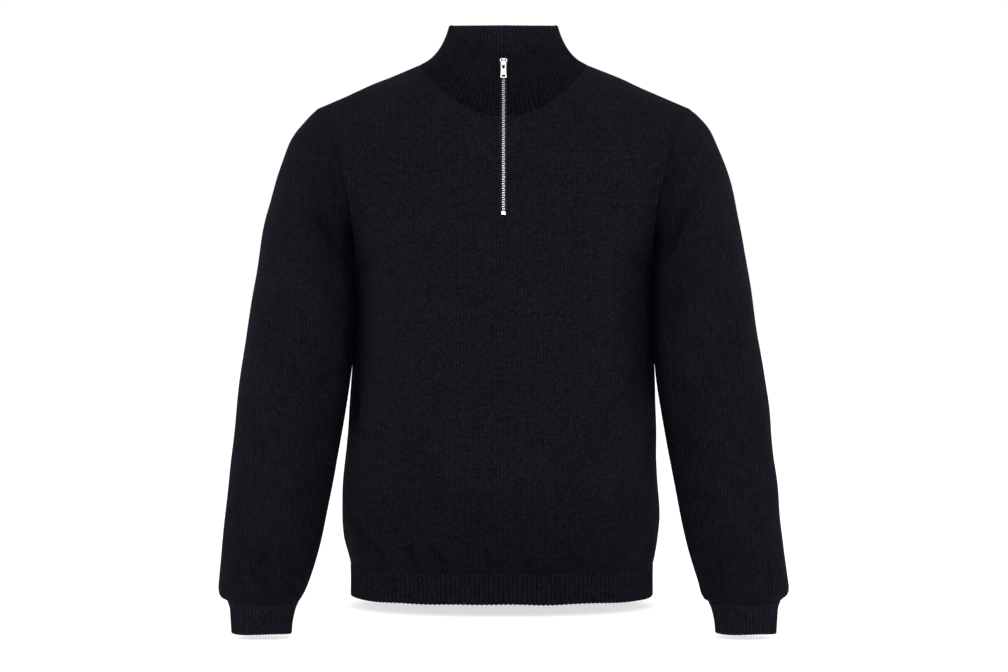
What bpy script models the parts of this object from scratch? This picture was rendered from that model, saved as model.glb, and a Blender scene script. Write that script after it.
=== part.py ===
"""Quarter-zip knitted sweater, filled out as worn: hollow, with an open neck, hem and cuffs.

Metres. +Z is up, the front faces -Y and +X is the wearer's left. The origin lies between the
shoulders, level with the highest point of the shoulder seams, where a wearer holds the garment up.
"""

import math

import bmesh
import bpy
from mathutils import Matrix, Vector

FRONT, BACK = -1, 1  # the sign of y
LEFT, RIGHT = 1, -1  # the wearer's, as the sign of x

# --- Cloth ---------------------------------------------------------------------------------------

CLOTH = 0.0026  # wall of the knitted panels
SEAM_GAP = 0.0003  # between two pieces sewn together
COLLAR_FULL = 0.0062  # folded collar, from its outer face to its inner one
COLLAR_LAYER = 0.0024  # its outer layer
COLLAR_GAP = 0.0017  # between its two layers, where the zip tape's edges lie
COLLAR_TUCK = 0.15  # share of the first row that the inner layer stops short of the neckline

# --- Body ----------------------------------------------------------------------------------------

ARMPIT_Z = -0.235
RIB_TOP_Z = -0.622
RIB_MIDDLE_Z = -0.641
HEM_Z = -0.659
BODY_ROUNDNESS = 2.35  # exponent of the body's rings: 2 is an ellipse
COLUMNS = 12  # across half a panel
NECK_COLUMNS = 5  # of them, those that end on the neckline
UPPER_ROWS = 9  # from the armpit to the shoulder

BODY_RINGS = (
    # height, half width on the wearer's left, on the right, depth in front, behind
    (-0.659, 0.1862, 0.1905, 0.1175, 0.1010),
    (-0.622, 0.1866, 0.1910, 0.1200, 0.1030),
    (-0.608, 0.1893, 0.1945, 0.1300, 0.1100),
    (-0.590, 0.1925, 0.1990, 0.1350, 0.1140),
    (-0.560, 0.1944, 0.2006, 0.1350, 0.1130),
    (-0.500, 0.1912, 0.1978, 0.1315, 0.1080),
    (-0.440, 0.1888, 0.1930, 0.1305, 0.1055),
    (-0.370, 0.1880, 0.1885, 0.1320, 0.1080),
    (-0.300, 0.1882, 0.1880, 0.1338, 0.1140),
    (-0.235, 0.1885, 0.1885, 0.1340, 0.1190),
)
BODY_ROW_HEIGHTS = (-0.622, -0.608, -0.590, -0.560, -0.515, -0.465, -0.410, -0.350, -0.292, -0.235)

# --- Neck, shoulders and armholes ----------------------------------------------------------------

NECK_HALF = 0.1045  # centre to the top of the shoulder seam
FRONT_NECK = (-0.1000, -0.0745, 1.8)  # y and z at the centre, and how late the neckline drops
BACK_NECK = (0.0750, -0.0220, 1.3)
SHOULDER_POINT = (0.2325, 0.0, -0.0565)
ARMHOLE_CURVES = {
    # from the armpit to the shoulder point: the two middle points of a Bezier curve
    FRONT: ((0.1720, -0.1000, -0.2250), (0.2130, -0.0700, -0.0660)),
    BACK: ((0.1780, 0.0950, -0.2200), (0.2160, 0.0720, -0.0640)),
}
ARMHOLE_FROM = 0.55  # share of the half width from which the columns turn into the armhole's curve
UPPER_COLUMNS = {
    # share of the half width, rise at the armpit, reach at the top, and its slope there in degrees
    FRONT: (
        (0.00, 0.055, 0.050, 69),
        (0.17, 0.062, 0.050, 60),
        (0.25, 0.075, 0.052, 52),
        (0.33, 0.105, 0.052, 40),
        (0.42, 0.120, 0.085, 12),
        (0.50, 0.118, 0.084, 8),
        (0.60, 0.110, 0.082, 6),
        (0.80, 0.100, 0.078, 5),
        (1.00, 0.080, 0.075, 5),
    ),
    BACK: (
        (0.00, 0.080, 0.070, 60),
        (0.17, 0.085, 0.065, 54),
        (0.25, 0.092, 0.060, 46),
        (0.33, 0.108, 0.055, 34),
        (0.42, 0.120, 0.080, 10),
        (0.50, 0.118, 0.080, 7),
        (0.60, 0.110, 0.080, 6),
        (0.80, 0.100, 0.078, 5),
        (1.00, 0.080, 0.075, 5),
    ),
}

# --- Sleeves and cuffs ---------------------------------------------------------------------------

SLEEVE_RINGS = (
    # outer edge x and z, inner edge x and z, half depth, y of the centre
    (0.2325, -0.0565, 0.1885, -0.2350, 0.0720, 0.000),
    (0.2443, -0.0696, 0.1890, -0.2410, 0.0725, -0.002),
    (0.2580, -0.0870, 0.1860, -0.2490, 0.0725, -0.006),
    (0.2700, -0.1105, 0.1825, -0.2600, 0.0720, -0.012),
    (0.2800, -0.1410, 0.1800, -0.2740, 0.0705, -0.019),
    (0.2890, -0.1780, 0.1790, -0.2930, 0.0685, -0.026),
    (0.2975, -0.2230, 0.1785, -0.3200, 0.0660, -0.032),
    (0.3055, -0.2740, 0.1800, -0.3520, 0.0630, -0.034),
    (0.3140, -0.3250, 0.1855, -0.3860, 0.0600, -0.034),
    (0.3230, -0.3880, 0.1930, -0.4260, 0.0560, -0.033),
    (0.3312, -0.4520, 0.2025, -0.4780, 0.0505, -0.032),
    (0.3385, -0.5220, 0.2140, -0.5380, 0.0445, -0.031),
    (0.3448, -0.5850, 0.2258, -0.5950, 0.0390, -0.031),
    (0.3500, -0.6300, 0.2378, -0.6350, 0.0355, -0.031),
    (0.3480, -0.6530, 0.2465, -0.6560, 0.0325, -0.031),
    (0.3400, -0.6665, 0.2530, -0.6680, 0.0275, -0.031),
)
CUFF_RINGS = (
    (0.3400, -0.6665, 0.2530, -0.6680, 0.0275, -0.031),
    (0.3372, -0.6745, 0.2565, -0.6755, 0.0248, -0.031),
    (0.3360, -0.6900, 0.2600, -0.6905, 0.0238, -0.031),
    (0.3350, -0.7050, 0.2615, -0.7050, 0.0230, -0.031),
)
CAP_RINGS = 6  # rings over which the armhole's shape passes into the sleeve's
SIDE_CLEARANCE = 0.0018  # between a sleeve and the body's side
SIDE_EASE = 0.10  # how fast that clearance falls with height inside the armhole
SIDE_EASE_FROM_Z = -0.19
SLEEVE_SET = {LEFT: -0.0016, RIGHT: 0.0010}  # how much wider each sleeve's outer edge hangs
SLEEVE_SET_DROP = 0.12  # below the shoulder, where that is reached

# --- Collar --------------------------------------------------------------------------------------

COLLAR_ROWS = 6
COLLAR_TOP_HALF = 0.0684
COLLAR_TOP_DEPTH = {FRONT: 0.0660, BACK: 0.0650}
COLLAR_TOP_SIDE_Z = 0.0462
COLLAR_TOP_CENTRE_Z = {FRONT: 0.0016, BACK: 0.0540}
COLLAR_BENDS = (
    # how far in and how far up the two middle points of its profile lie: at the sides, at the centre
    ((0.45, 0.12), (0.34, 0.28)),
    ((0.80, 0.45), (0.70, 0.63)),
)

# --- Zip -----------------------------------------------------------------------------------------

SLIT_FOOT_Z = -0.197
SLIT_HALF = 0.0037  # half the slit's width beside the chain
SLIT_HALF_AT_SLIDER = 0.0057
SLIT_WIDENS_Z = (-0.022, -0.006)  # from the first half width to the second
TAPE_DEPTH = 0.0031  # from the cloth's outer face to the tape's
TAPE = 0.0006
TAPE_EDGE = 0.0155  # centre line to the tape's outer edge
TAPE_BELOW_SLIT = 0.012
TAPE_BELOW_COLLAR = 0.0035
CHAIN_WIDTH = 0.0047
CHAIN_THICK = 0.0024
CHAIN_INTO_SLIDER = 0.0012  # how far past the slider's middle the closed chain runs
STATION_GAP = 0.003  # least length between two sections of the chain at its ends
FIT = 0.0003  # clearance between pieces that touch
ROUNDED = 0.0004  # bevel on the metal's edges

SLIDER_WIDTH = 0.0100  # at its shoulders
SLIDER_FOOT = 0.80  # width at its foot, as a share of that
SLIDER_HEIGHT = 0.0108
SLIDER_TOP_BELOW_COLLAR = 0.0018
PLATE = 0.0011  # each of its two plates
POST_WIDTH = 0.0038  # the wedge that joins them at the top
POST_FOOT = 0.0016  # above the slider's middle
POST_BELOW_TOP = 0.0005
LIP = 0.0006  # the rails along the plates' long edges
LIP_INSET = 0.0001
LIP_ABOVE_FOOT = 0.0006
LIP_BELOW_TOP = 0.0012
LOOP_WIDTH = 0.0024  # the bridge that holds the pull tab
LOOP_INNER = 0.00125  # radius of its hole
LOOP_OUTER = 0.0022  # radius of its crown
LOOP_ABOVE = 0.0057  # its upper end, above the pull tab's axis
LOOP_BELOW = 0.0040
LOOP_CROWN = (math.radians(35), math.radians(145))  # where the crown's arc starts and ends
PULL_WIDTH = 0.0081  # at its bar
PULL_FOOT = 1.12  # width at its foot, as a share of that
PULL_LENGTH = 0.0201
PULL_BELOW_MIDDLE = 0.0015  # its axis, below the slider's middle
PULL_THICK = 0.0013
EYE_WIDTH = 0.0036  # the opening through which the loop passes
EYE_FOOT = 0.0059  # below the tab's axis
PULL_SLOT_WIDTH = 0.0037
PULL_SLOT_HEIGHT = 0.0015
PULL_SLOT_ABOVE_FOOT = 0.0026
PULL_LIFT = math.radians(1.0)  # the tab leans on the cloth's edges below the slider
STOP_WIDTH = 0.0058
STOP_HEIGHT = 0.0045
STOP_THICK = 0.0018
STOP_FOOT = 0.0006  # above the foot of the slit
CUT_DEPTH = 0.002  # half the depth of the tools that cut the tab's holes

for obj in list(bpy.data.objects):
    bpy.data.objects.remove(obj, do_unlink=True)


# --- Curves --------------------------------------------------------------------------------------


def smooth(share):
    share = min(max(share, 0.0), 1.0)
    return share * share * (3 - 2 * share)


def read(table, key):
    """The table's row at this key, its first column, on a smooth curve through the rows."""
    last = len(table) - 1
    at = max(i for i in range(last) if i == 0 or table[i][0] <= key)
    before, low, high, after = (table[min(max(at + step, 0), last)] for step in (-1, 0, 1, 2))
    share = min(max((key - low[0]) / (high[0] - low[0]), 0.0), 1.0)

    def slope(first, second, column):
        return (second[column] - first[column]) / (second[0] - first[0]) * (high[0] - low[0])

    row = []
    for column in range(1, len(low)):
        rise_low = slope(before, high, column)
        rise_high = slope(low, after, column)
        square, cube = share**2, share**3
        row.append(
            (2 * cube - 3 * square + 1) * low[column]
            + (cube - 2 * square + share) * rise_low
            + (3 * square - 2 * cube) * high[column]
            + (cube - square) * rise_high
        )
    return row


def bezier(start, low, high, end, share):
    rest = 1 - share
    return (
        start * rest**3 + low * 3 * rest**2 * share + high * 3 * rest * share**2 + end * share**3
    )


def ring_quarter(half_width, depth, shares, samples=160):
    """Points of a quarter ring from its front to its side, each at a share of the quarter's length."""
    points = []
    for step in range(samples + 1):
        angle = math.pi / 2 * step / samples
        points.append(
            (
                half_width * math.sin(angle) ** (2 / BODY_ROUNDNESS),
                depth * max(math.cos(angle), 0.0) ** (2 / BODY_ROUNDNESS),
            )
        )
    travelled = [0.0]
    for first, second in zip(points, points[1:]):
        travelled.append(travelled[-1] + math.dist(first, second))
    found = []
    for share in shares:
        target = share * travelled[-1]
        at = max(i for i in range(samples) if travelled[i] <= target)
        part = (target - travelled[at]) / (travelled[at + 1] - travelled[at])
        found.append([a + (b - a) * part for a, b in zip(points[at], points[at + 1])])
    return found


# --- Body panels ---------------------------------------------------------------------------------

SHARES = [column / COLUMNS for column in range(COLUMNS + 1)]
NECK_SHARE = NECK_COLUMNS / COLUMNS


def slit_half(height):
    """Half the slit's width: the edges part a little round the slider."""
    low, high = SLIT_WIDENS_Z
    return SLIT_HALF + (SLIT_HALF_AT_SLIDER - SLIT_HALF) * smooth((height - low) / (high - low))


def body_ring(height, side, face):
    """Half a panel's row of points at this height, from the centre to the side seam."""
    left, right, front, back = read(BODY_RINGS, height)
    half_width = left if side == LEFT else right
    depth = front if face == FRONT else back
    return [
        Vector((side * x, face * y, height)) for x, y in ring_quarter(half_width, depth, SHARES)
    ]


def top_edge(share, side, face):
    """Where a column of the panel ends: on the neckline, then along the shoulder seam."""
    if share <= NECK_SHARE:
        along = share / NECK_SHARE
        turn = (math.asin(along) + along * math.pi / 2) / 2
        neck_y, neck_z, dip = FRONT_NECK if face == FRONT else BACK_NECK
        return Vector(
            (
                side * NECK_HALF * math.sin(turn),
                neck_y * max(math.cos(turn), 0.0),
                neck_z * max(math.cos(turn), 0.0) ** dip,
            )
        )
    along = (share - NECK_SHARE) / (1 - NECK_SHARE)
    x, y, z = SHOULDER_POINT
    return Vector((side * (NECK_HALF + (x - NECK_HALF) * along), y * along, z * along))


def upper_point(foot, share, side, face, rise):
    """A point of the panel above the armpit, on the column that starts at foot."""
    low, high = (Vector((side * x, y, z)) for x, y, z in ARMHOLE_CURVES[face])
    end = top_edge(share, side, face)
    armhole_low, armhole_high = low - foot, end - high
    up, reach, slope = read(UPPER_COLUMNS[face], share)
    slope = math.radians(slope)
    start_arm = Vector((0, 0, up))
    end_arm = Vector((0, -face * math.cos(slope), math.sin(slope))) * reach
    at_armhole = smooth((share - ARMHOLE_FROM) / (1 - ARMHOLE_FROM))
    start_arm = start_arm.lerp(armhole_low, at_armhole)
    end_arm = end_arm.lerp(armhole_high, at_armhole)
    return bezier(foot, foot + start_arm, end - end_arm, end, rise)


def rise_to(height, foot):
    """The share of the front's centre column at which it reaches this height."""
    low, high = 0.0, 1.0
    for _ in range(40):
        middle = (low + high) / 2
        if upper_point(foot, 0.0, LEFT, FRONT, middle).z < height:
            low = middle
        else:
            high = middle
    return low


CHEST_CENTRE = body_ring(ARMPIT_Z, LEFT, FRONT)[0]
SLIT_RISE = rise_to(SLIT_FOOT_Z, CHEST_CENTRE)
SLIT_ROW = 2  # the row above the armpit on which the slit ends
RISES = [SLIT_RISE * row / SLIT_ROW for row in range(SLIT_ROW)]
RISES += [
    SLIT_RISE + (1 - SLIT_RISE) * row / (UPPER_ROWS - SLIT_ROW)
    for row in range(UPPER_ROWS - SLIT_ROW + 1)
]
ARMPIT_ROW = len(BODY_ROW_HEIGHTS) - 1
SLIT_FOOT_ROW = ARMPIT_ROW + SLIT_ROW


def half_panel(side, face):
    """Rows of points from the rib up to the neckline and shoulder, each from the centre outwards."""
    rows = [body_ring(height, side, face) for height in BODY_ROW_HEIGHTS]
    feet = rows[-1]
    for rise in RISES[1:]:
        rows.append(
            [upper_point(foot, share, side, face, rise) for foot, share in zip(feet, SHARES)]
        )
    return rows


def widen_slit(rows):
    for row in rows:
        row[0].x = math.copysign(slit_half(row[0].z), row[1].x)
    return rows


FRONT_HALVES = {side: widen_slit(half_panel(side, FRONT)) for side in (LEFT, RIGHT)}
BACK_HALVES = {side: half_panel(side, BACK) for side in (LEFT, RIGHT)}

# --- The garment's outer face, as one net --------------------------------------------------------

PIECES = (
    "front",
    "back",
    "hem_rib",
    "sleeve_left",
    "sleeve_right",
    "cuff_left",
    "cuff_right",
    "collar",
)
net = bmesh.new()
piece_of = net.faces.layers.int.new("piece")
net_points = {}


def net_point(place):
    key = tuple(round(value, 6) for value in place)
    if key not in net_points:
        net_points[key] = net.verts.new(place)
    return net_points[key]


def add_strip(piece, low, high, outward=True):
    """Quads between two rows of points. Seen from outside, they run left to right, low below high."""
    for at in range(len(low) - 1):
        corners = [low[at], low[at + 1], high[at + 1], high[at]]
        if not outward:
            corners.reverse()
        found = []
        for corner in corners:
            vertex = net_point(corner)
            if vertex not in found:
                found.append(vertex)
        if len(found) > 2:
            net.faces.new(found)[piece_of] = PIECES.index(piece)


def add_tube(piece, rings, outward=True):
    for high, low in zip(rings, rings[1:]):
        add_strip(piece, low + low[:1], high + high[:1], outward)


front_rows = [
    list(reversed(right)) + left for right, left in zip(FRONT_HALVES[RIGHT], FRONT_HALVES[LEFT])
]
back_rows = [
    list(reversed(right)) + left[1:] for right, left in zip(BACK_HALVES[RIGHT], BACK_HALVES[LEFT])
]
middle = COLUMNS + 1
for at, (low, high) in enumerate(zip(front_rows, front_rows[1:])):
    if at < SLIT_FOOT_ROW:
        add_strip("front", low, high)
    else:
        add_strip("front", low[:middle], high[:middle])
        add_strip("front", low[middle:], high[middle:])
for low, high in zip(back_rows, back_rows[1:]):
    add_strip("back", low, high, outward=False)


def whole_ring(height):
    """The body's ring at this height: across the front, then back across the back."""
    front = list(reversed(body_ring(height, RIGHT, FRONT))) + body_ring(height, LEFT, FRONT)
    front[COLUMNS].x, front[COLUMNS + 1].x = -slit_half(height), slit_half(height)
    back = list(reversed(body_ring(height, LEFT, BACK)))[1:] + body_ring(height, RIGHT, BACK)[1:-1]
    return front + back


add_tube("hem_rib", [whole_ring(z) for z in (RIB_TOP_Z, RIB_MIDDLE_Z, HEM_Z)])

# --- Sleeves and cuffs ---------------------------------------------------------------------------


def sleeve_ring(row, side, count):
    """An oval from its outer edge round the front to its inner edge and round the back."""
    outer_x, outer_z, inner_x, inner_z, half_depth, middle_y = row
    outer_x += SLEEVE_SET[side] * smooth((SHOULDER_POINT[2] - outer_z) / SLEEVE_SET_DROP)
    centre = Vector((side * (outer_x + inner_x) / 2, middle_y, (outer_z + inner_z) / 2))
    arm = Vector((side * outer_x, middle_y, outer_z)) - centre
    turns = [2 * math.pi * step / count for step in range(count)]
    return [
        centre + arm * math.cos(turn) + Vector((0, -half_depth * math.sin(turn), 0))
        for turn in turns
    ]


def clear_of_body(point, side):
    """The point, moved out sideways where it would touch the body's side."""
    left, right, front, back = read(BODY_RINGS, min(point.z, ARMPIT_Z))
    depth = front if point.y < 0 else back
    within = 1 - min(abs(point.y) / depth, 1.0) ** BODY_ROUNDNESS
    half_width = (left if side == LEFT else right) * within ** (1 / BODY_ROUNDNESS)
    least = half_width + SIDE_CLEARANCE - SIDE_EASE * max(point.z - SIDE_EASE_FROM_Z, 0.0)
    return Vector((side * max(abs(point.x), least), point.y, point.z))


def armhole(side):
    """The armhole's points, from the shoulder down the front to the armpit and up the back."""
    front = [row[-1] for row in FRONT_HALVES[side][ARMPIT_ROW:]]
    back = [row[-1] for row in BACK_HALVES[side][ARMPIT_ROW:]]
    return list(reversed(front)) + back[1:-1]


for side, name in ((LEFT, "left"), (RIGHT, "right")):
    edge = armhole(side)
    first_oval = sleeve_ring(SLEEVE_RINGS[0], side, len(edge))
    pulls = [point - oval for point, oval in zip(edge, first_oval)]
    rings = []
    for at, row in enumerate(SLEEVE_RINGS):
        hold = max(1 - at / CAP_RINGS, 0.0) ** 2
        oval = sleeve_ring(row, side, len(edge))
        ring = [point + pull * hold for point, pull in zip(oval, pulls)]
        rings.append([clear_of_body(point, side) for point in ring] if at else ring)
    add_tube(f"sleeve_{name}", rings, outward=side == RIGHT)
    cuff = [sleeve_ring(row, side, len(edge)) for row in CUFF_RINGS]
    add_tube(f"cuff_{name}", cuff, outward=side == RIGHT)

# --- Collar --------------------------------------------------------------------------------------


def collar_column(foot, face, side):
    """A column of the collar's outer face, from the neckline up to its fold."""
    across = min(abs(foot.x) / NECK_HALF, 1.0)
    along = math.sqrt(1 - across**2)
    side_z, centre_z = COLLAR_TOP_SIDE_Z, COLLAR_TOP_CENTRE_Z[face]
    head = Vector(
        (
            side * COLLAR_TOP_HALF * across,
            face * COLLAR_TOP_DEPTH[face] * along,
            side_z + (centre_z - side_z) * along**2,
        )
    )
    bends = []
    for at_side, at_centre in COLLAR_BENDS:
        inward = at_centre[0] + (at_side[0] - at_centre[0]) * across**2
        upward = at_centre[1] + (at_side[1] - at_centre[1]) * across**2
        bend = foot.lerp(head, inward)
        bend.z = foot.z + (head.z - foot.z) * upward
        bends.append(bend)
    return [bezier(foot, *bends, head, row / COLLAR_ROWS) for row in range(COLLAR_ROWS + 1)]


def neck_columns(halves, face, side):
    feet = halves[side][-1][: NECK_COLUMNS + 1]
    columns = [collar_column(foot, face, side) for foot in feet]
    if face == FRONT:
        for point in columns[0]:
            point.x = side * slit_half(point.z)
    return columns


collar_columns = (
    neck_columns(FRONT_HALVES, FRONT, LEFT)
    + neck_columns(BACK_HALVES, BACK, LEFT)[-2::-1]
    + neck_columns(BACK_HALVES, BACK, RIGHT)[1:]
    + neck_columns(FRONT_HALVES, FRONT, RIGHT)[-2::-1]
)
collar_rows = [list(row) for row in zip(*collar_columns)]
for low, high in zip(collar_rows, collar_rows[1:]):
    add_strip("collar", low, high)
bmesh.ops.triangulate(net, faces=net.faces, quad_method="SHORT_EDGE")
net.verts.index_update()
net.normal_update()
normals = {vertex: vertex.normal.copy() for vertex in net.verts}
for row in [*front_rows[SLIT_FOOT_ROW:], *collar_rows]:
    edges = (row[middle - 1], row[middle]) if row in front_rows else (row[0], row[-1])
    for place in edges:
        # The slit's two edges are cut straight back.
        normal = normals[net_point(place)]
        normal.x = 0
        normal.normalize()

# --- Cutting the net into pieces and giving them their thickness ---------------------------------


def outward(place):
    """The net's normal at a point, which the pieces that meet there share."""
    return normals[net_point(place)]


def seam_shift(vertex, piece):
    """How far this piece's edge draws back at a seam, square to the plane that the two pieces share."""
    shift = Vector()
    for edge in vertex.link_edges:
        own = [face for face in edge.link_faces if face[piece_of] == piece]
        if len(own) != 1 or len(edge.link_faces) != 2:
            continue
        loop = next(loop for loop in edge.link_loops if loop.face == own[0])
        along = loop.link_loop_next.vert.co - loop.vert.co
        square = normals[vertex].cross(along).normalized() * SEAM_GAP / 2
        if shift.length > 0:
            # At a corner both edges draw back by the whole amount.
            shift = (shift + square) / (1 + shift.normalized().dot(square.normalized()))
        else:
            shift = square
    return shift


def colour(name, rgb, roughness, metallic=0.0):
    finish = bpy.data.materials.new(name)
    finish.use_nodes = True
    shader = finish.node_tree.nodes["Principled BSDF"]
    shader.inputs["Base Color"].default_value = (*rgb, 1.0)
    shader.inputs["Roughness"].default_value = roughness
    shader.inputs["Metallic"].default_value = metallic
    return finish


KNIT = colour("knit", (0.0085, 0.0095, 0.0145), 0.92)
TAPE_CLOTH = colour("zip_tape", (0.006, 0.006, 0.009), 0.85)
METAL = colour("zip_metal", (0.80, 0.79, 0.77), 0.28, 1.0)


def add_object(name, points, faces, finish):
    mesh = bpy.data.meshes.new(name)
    mesh.from_pydata(points, [], faces)
    mesh.materials.append(finish)
    mesh.shade_smooth()
    obj = bpy.data.objects.new(name, mesh)
    bpy.context.scene.collection.objects.link(obj)
    return obj


def rim(first, second, points):
    """Two triangles between an edge's outer and inner points, split alike on both sides of a seam."""
    (first_out, first_in), (second_out, second_in) = points
    if first.index < second.index:
        return [[second_out, first_out, second_in], [first_out, first_in, second_in]]
    return [[second_out, first_out, first_in], [second_out, first_in, second_in]]


def knitted_piece(name):
    """A piece of the net as a wall: its outer face, its inner face and the rims between them."""
    piece = PIECES.index(name)
    own = [face for face in net.faces if face[piece_of] == piece]
    index, points = {}, []
    for face in own:
        for vertex in face.verts:
            if vertex not in index:
                index[vertex] = len(points)
                outer = vertex.co + seam_shift(vertex, piece)
                points += [outer, outer - normals[vertex] * CLOTH]
    faces = []
    for face in own:
        outer = [index[vertex] for vertex in face.verts]
        faces += [outer, [at + 1 for at in reversed(outer)]]
        for loop in face.loops:
            if sum(other.face[piece_of] == piece for other in loop.edge.link_loops) == 1:
                ends = (loop.vert, loop.link_loop_next.vert)
                faces += rim(*ends, [(index[end], index[end] + 1) for end in ends])
    return add_object(name, points, faces, KNIT)


def folded_collar():
    """Two layers, joined over the top in one rounded fold and open between them at the neckline."""
    piece = PIECES.index("collar")
    radius = COLLAR_FULL / 2
    sections = []
    for column in collar_columns:
        vertices = [net_point(place) for place in column]
        rows = [(v.co + seam_shift(v, piece), normals[v]) for v in vertices]

        def layer(depth, tuck=0.0, rows=rows):
            places = [place - normal * depth for place, normal in rows]
            places[0] = places[0].lerp(places[1], tuck)
            return places

        (below, _), (head, normal) = rows[-2:]
        rise = (head - below).normalized()
        fold = [
            head - normal * radius * (1 - math.cos(turn)) + rise * radius * math.sin(turn)
            for turn in (math.pi * step / 4 for step in (1, 2, 3))
        ]
        inner_face = layer(COLLAR_FULL, COLLAR_TUCK)
        inner_hidden = layer(COLLAR_LAYER + COLLAR_GAP, COLLAR_TUCK)
        outer_face, outer_hidden = layer(0.0), layer(COLLAR_LAYER)
        sections.append(outer_face + fold + inner_face[::-1] + inner_hidden + outer_hidden[::-1])
    count = len(sections[0])
    points = [point for section in sections for point in section]
    faces = []
    feet = [net_point(column[0]) for column in collar_columns]
    for station in range(len(sections) - 1):
        here, there = station * count, (station + 1) * count
        for at in range(count - 1):
            faces.append([here + at, there + at, there + at + 1, here + at + 1])
        ends = [(here, here + count - 1), (there, there + count - 1)]
        faces += rim(feet[station], feet[station + 1], ends)
    rows = COLLAR_ROWS + 1
    inner_top, hidden_foot = rows + 3, 2 * rows + 3
    for start, reverse in ((0, True), ((len(sections) - 1) * count, False)):
        ends = []
        for row in range(COLLAR_ROWS):
            ends.append([row, row + 1, count - 2 - row, count - 1 - row])
            inner = 2 * rows + 2 - row
            ends.append([inner, hidden_foot + row, hidden_foot + row + 1, inner - 1])
        top = list(range(COLLAR_ROWS, inner_top + 1))
        ends.append(top + [hidden_foot + COLLAR_ROWS, hidden_foot + COLLAR_ROWS + 1])
        for end in ends:
            face = [start + at for at in end]
            faces.append(face if reverse else face[::-1])
    return add_object("collar", points, faces, KNIT)


for name in PIECES[:-1]:
    knitted_piece(name)
folded_collar()

# --- Zip: tapes, chain and stop ------------------------------------------------------------------


def zip_rows(side):
    """The slit's edge and the column beside it, from below the slit up into the collar."""
    panel = FRONT_HALVES[side][SLIT_FOOT_ROW - 1 :]
    columns = neck_columns(FRONT_HALVES, FRONT, side)
    rows = [(row[0], row[1]) for row in panel]
    rows += [(columns[0][row], columns[1][row]) for row in range(1, COLLAR_ROWS + 1)]
    return [(edge, outward(edge), beside, outward(beside)) for edge, beside in rows]


def cut_rows(rows, off_start, off_end):
    """The rows with a length taken off each end, measured along the slit's edge."""

    def between(first, second, share):
        return tuple(a.lerp(b, share) for a, b in zip(first, second))

    rows = list(rows)
    first_length = (rows[1][0] - rows[0][0]).length
    last_length = (rows[-1][0] - rows[-2][0]).length
    rows[0] = between(rows[0], rows[1], off_start / first_length)
    rows[-1] = between(rows[-1], rows[-2], off_end / last_length)
    return rows


def tape_point(row, x, depth):
    """A point at this x and depth, on the flat facet between the slit's edge and the next column."""
    edge, edge_normal, beside, beside_normal = row
    first, second = edge - edge_normal * depth, beside - beside_normal * depth
    return first.lerp(second, (x - first.x) / (second.x - first.x))


def box_strip(name, sections, finish):
    """A strip whose sections are four corners each, in the order that faces out when it runs up."""
    points = [corner for section in sections for corner in section]
    faces = [[3, 2, 1, 0]]
    for at in range(0, 4 * (len(sections) - 1), 4):
        for corner in range(4):
            after = (corner + 1) % 4
            faces.append([at + corner, at + after, at + after + 4, at + corner + 4])
    last = len(points) - 4
    faces.append([last, last + 1, last + 2, last + 3])
    return add_object(name, points, faces, finish)


CHAIN_HALF = CHAIN_WIDTH / 2
for side, name in ((LEFT, "left"), (RIGHT, "right")):
    rows = zip_rows(side)
    below = (rows[1][0] - rows[0][0]).length - TAPE_BELOW_SLIT
    sections = []
    for row in cut_rows(rows, below, TAPE_BELOW_COLLAR):
        inner, outer = side * (CHAIN_HALF + FIT), side * TAPE_EDGE
        corners = [
            tape_point(row, inner, TAPE_DEPTH),
            tape_point(row, outer, TAPE_DEPTH),
            tape_point(row, outer, TAPE_DEPTH + TAPE),
            tape_point(row, inner, TAPE_DEPTH + TAPE),
        ]
        sections.append(corners if side == LEFT else corners[::-1])
    box_strip(f"zip_tape_{name}", sections, TAPE_CLOTH)

zip_line = []  # places and outward directions on the centre line, at the chain's middle depth
for left_row, right_row in zip(zip_rows(LEFT)[1:], zip_rows(RIGHT)[1:]):
    face_out = (left_row[1] + right_row[1]).normalized()
    place = (left_row[0] + right_row[0]) / 2 - face_out * (TAPE_DEPTH + TAPE / 2)
    zip_line.append((place, face_out))
travelled = [0.0]
for (first, _), (second, _) in zip(zip_line, zip_line[1:]):
    travelled.append(travelled[-1] + (second - first).length)


def on_zip(distance):
    """The place, outward direction and upward direction at a distance up the zip line."""
    at = max(i for i in range(len(travelled) - 1) if i == 0 or travelled[i] <= distance)
    share = (distance - travelled[at]) / (travelled[at + 1] - travelled[at])
    (first, first_out), (second, second_out) = zip_line[at], zip_line[at + 1]
    rise = (second - first).normalized()
    face_out = first_out.lerp(second_out, share)
    face_out = (face_out - rise * face_out.dot(rise)).normalized()
    return first.lerp(second, share), face_out, rise


SLIDER_MIDDLE = travelled[-1] - SLIDER_TOP_BELOW_COLLAR - SLIDER_HEIGHT / 2
CHAIN_TOP = SLIDER_MIDDLE + CHAIN_INTO_SLIDER
CHAIN_FOOT = STOP_FOOT + STOP_HEIGHT + FIT


def chain_section(distance):
    place, face_out, _ = on_zip(distance)
    out, across = face_out * CHAIN_THICK / 2, Vector((CHAIN_HALF, 0, 0))
    return [place + out - across, place + out + across, place - out + across, place - out - across]


between = (CHAIN_FOOT + STATION_GAP, CHAIN_TOP - STATION_GAP)
stations = [length for length in travelled if between[0] < length < between[1]]
stations = [CHAIN_FOOT, *stations, CHAIN_TOP]
box_strip("zip_chain", [chain_section(length) for length in stations], METAL)


def zip_frame(distance):
    """Local axes on the zip: x across, -y out of the garment, z up the zip."""
    place, face_out, rise = on_zip(distance)
    axes = Matrix((Vector((1, 0, 0)), -face_out, rise)).transposed().to_4x4()
    return Matrix.Translation(place) @ axes


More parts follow.
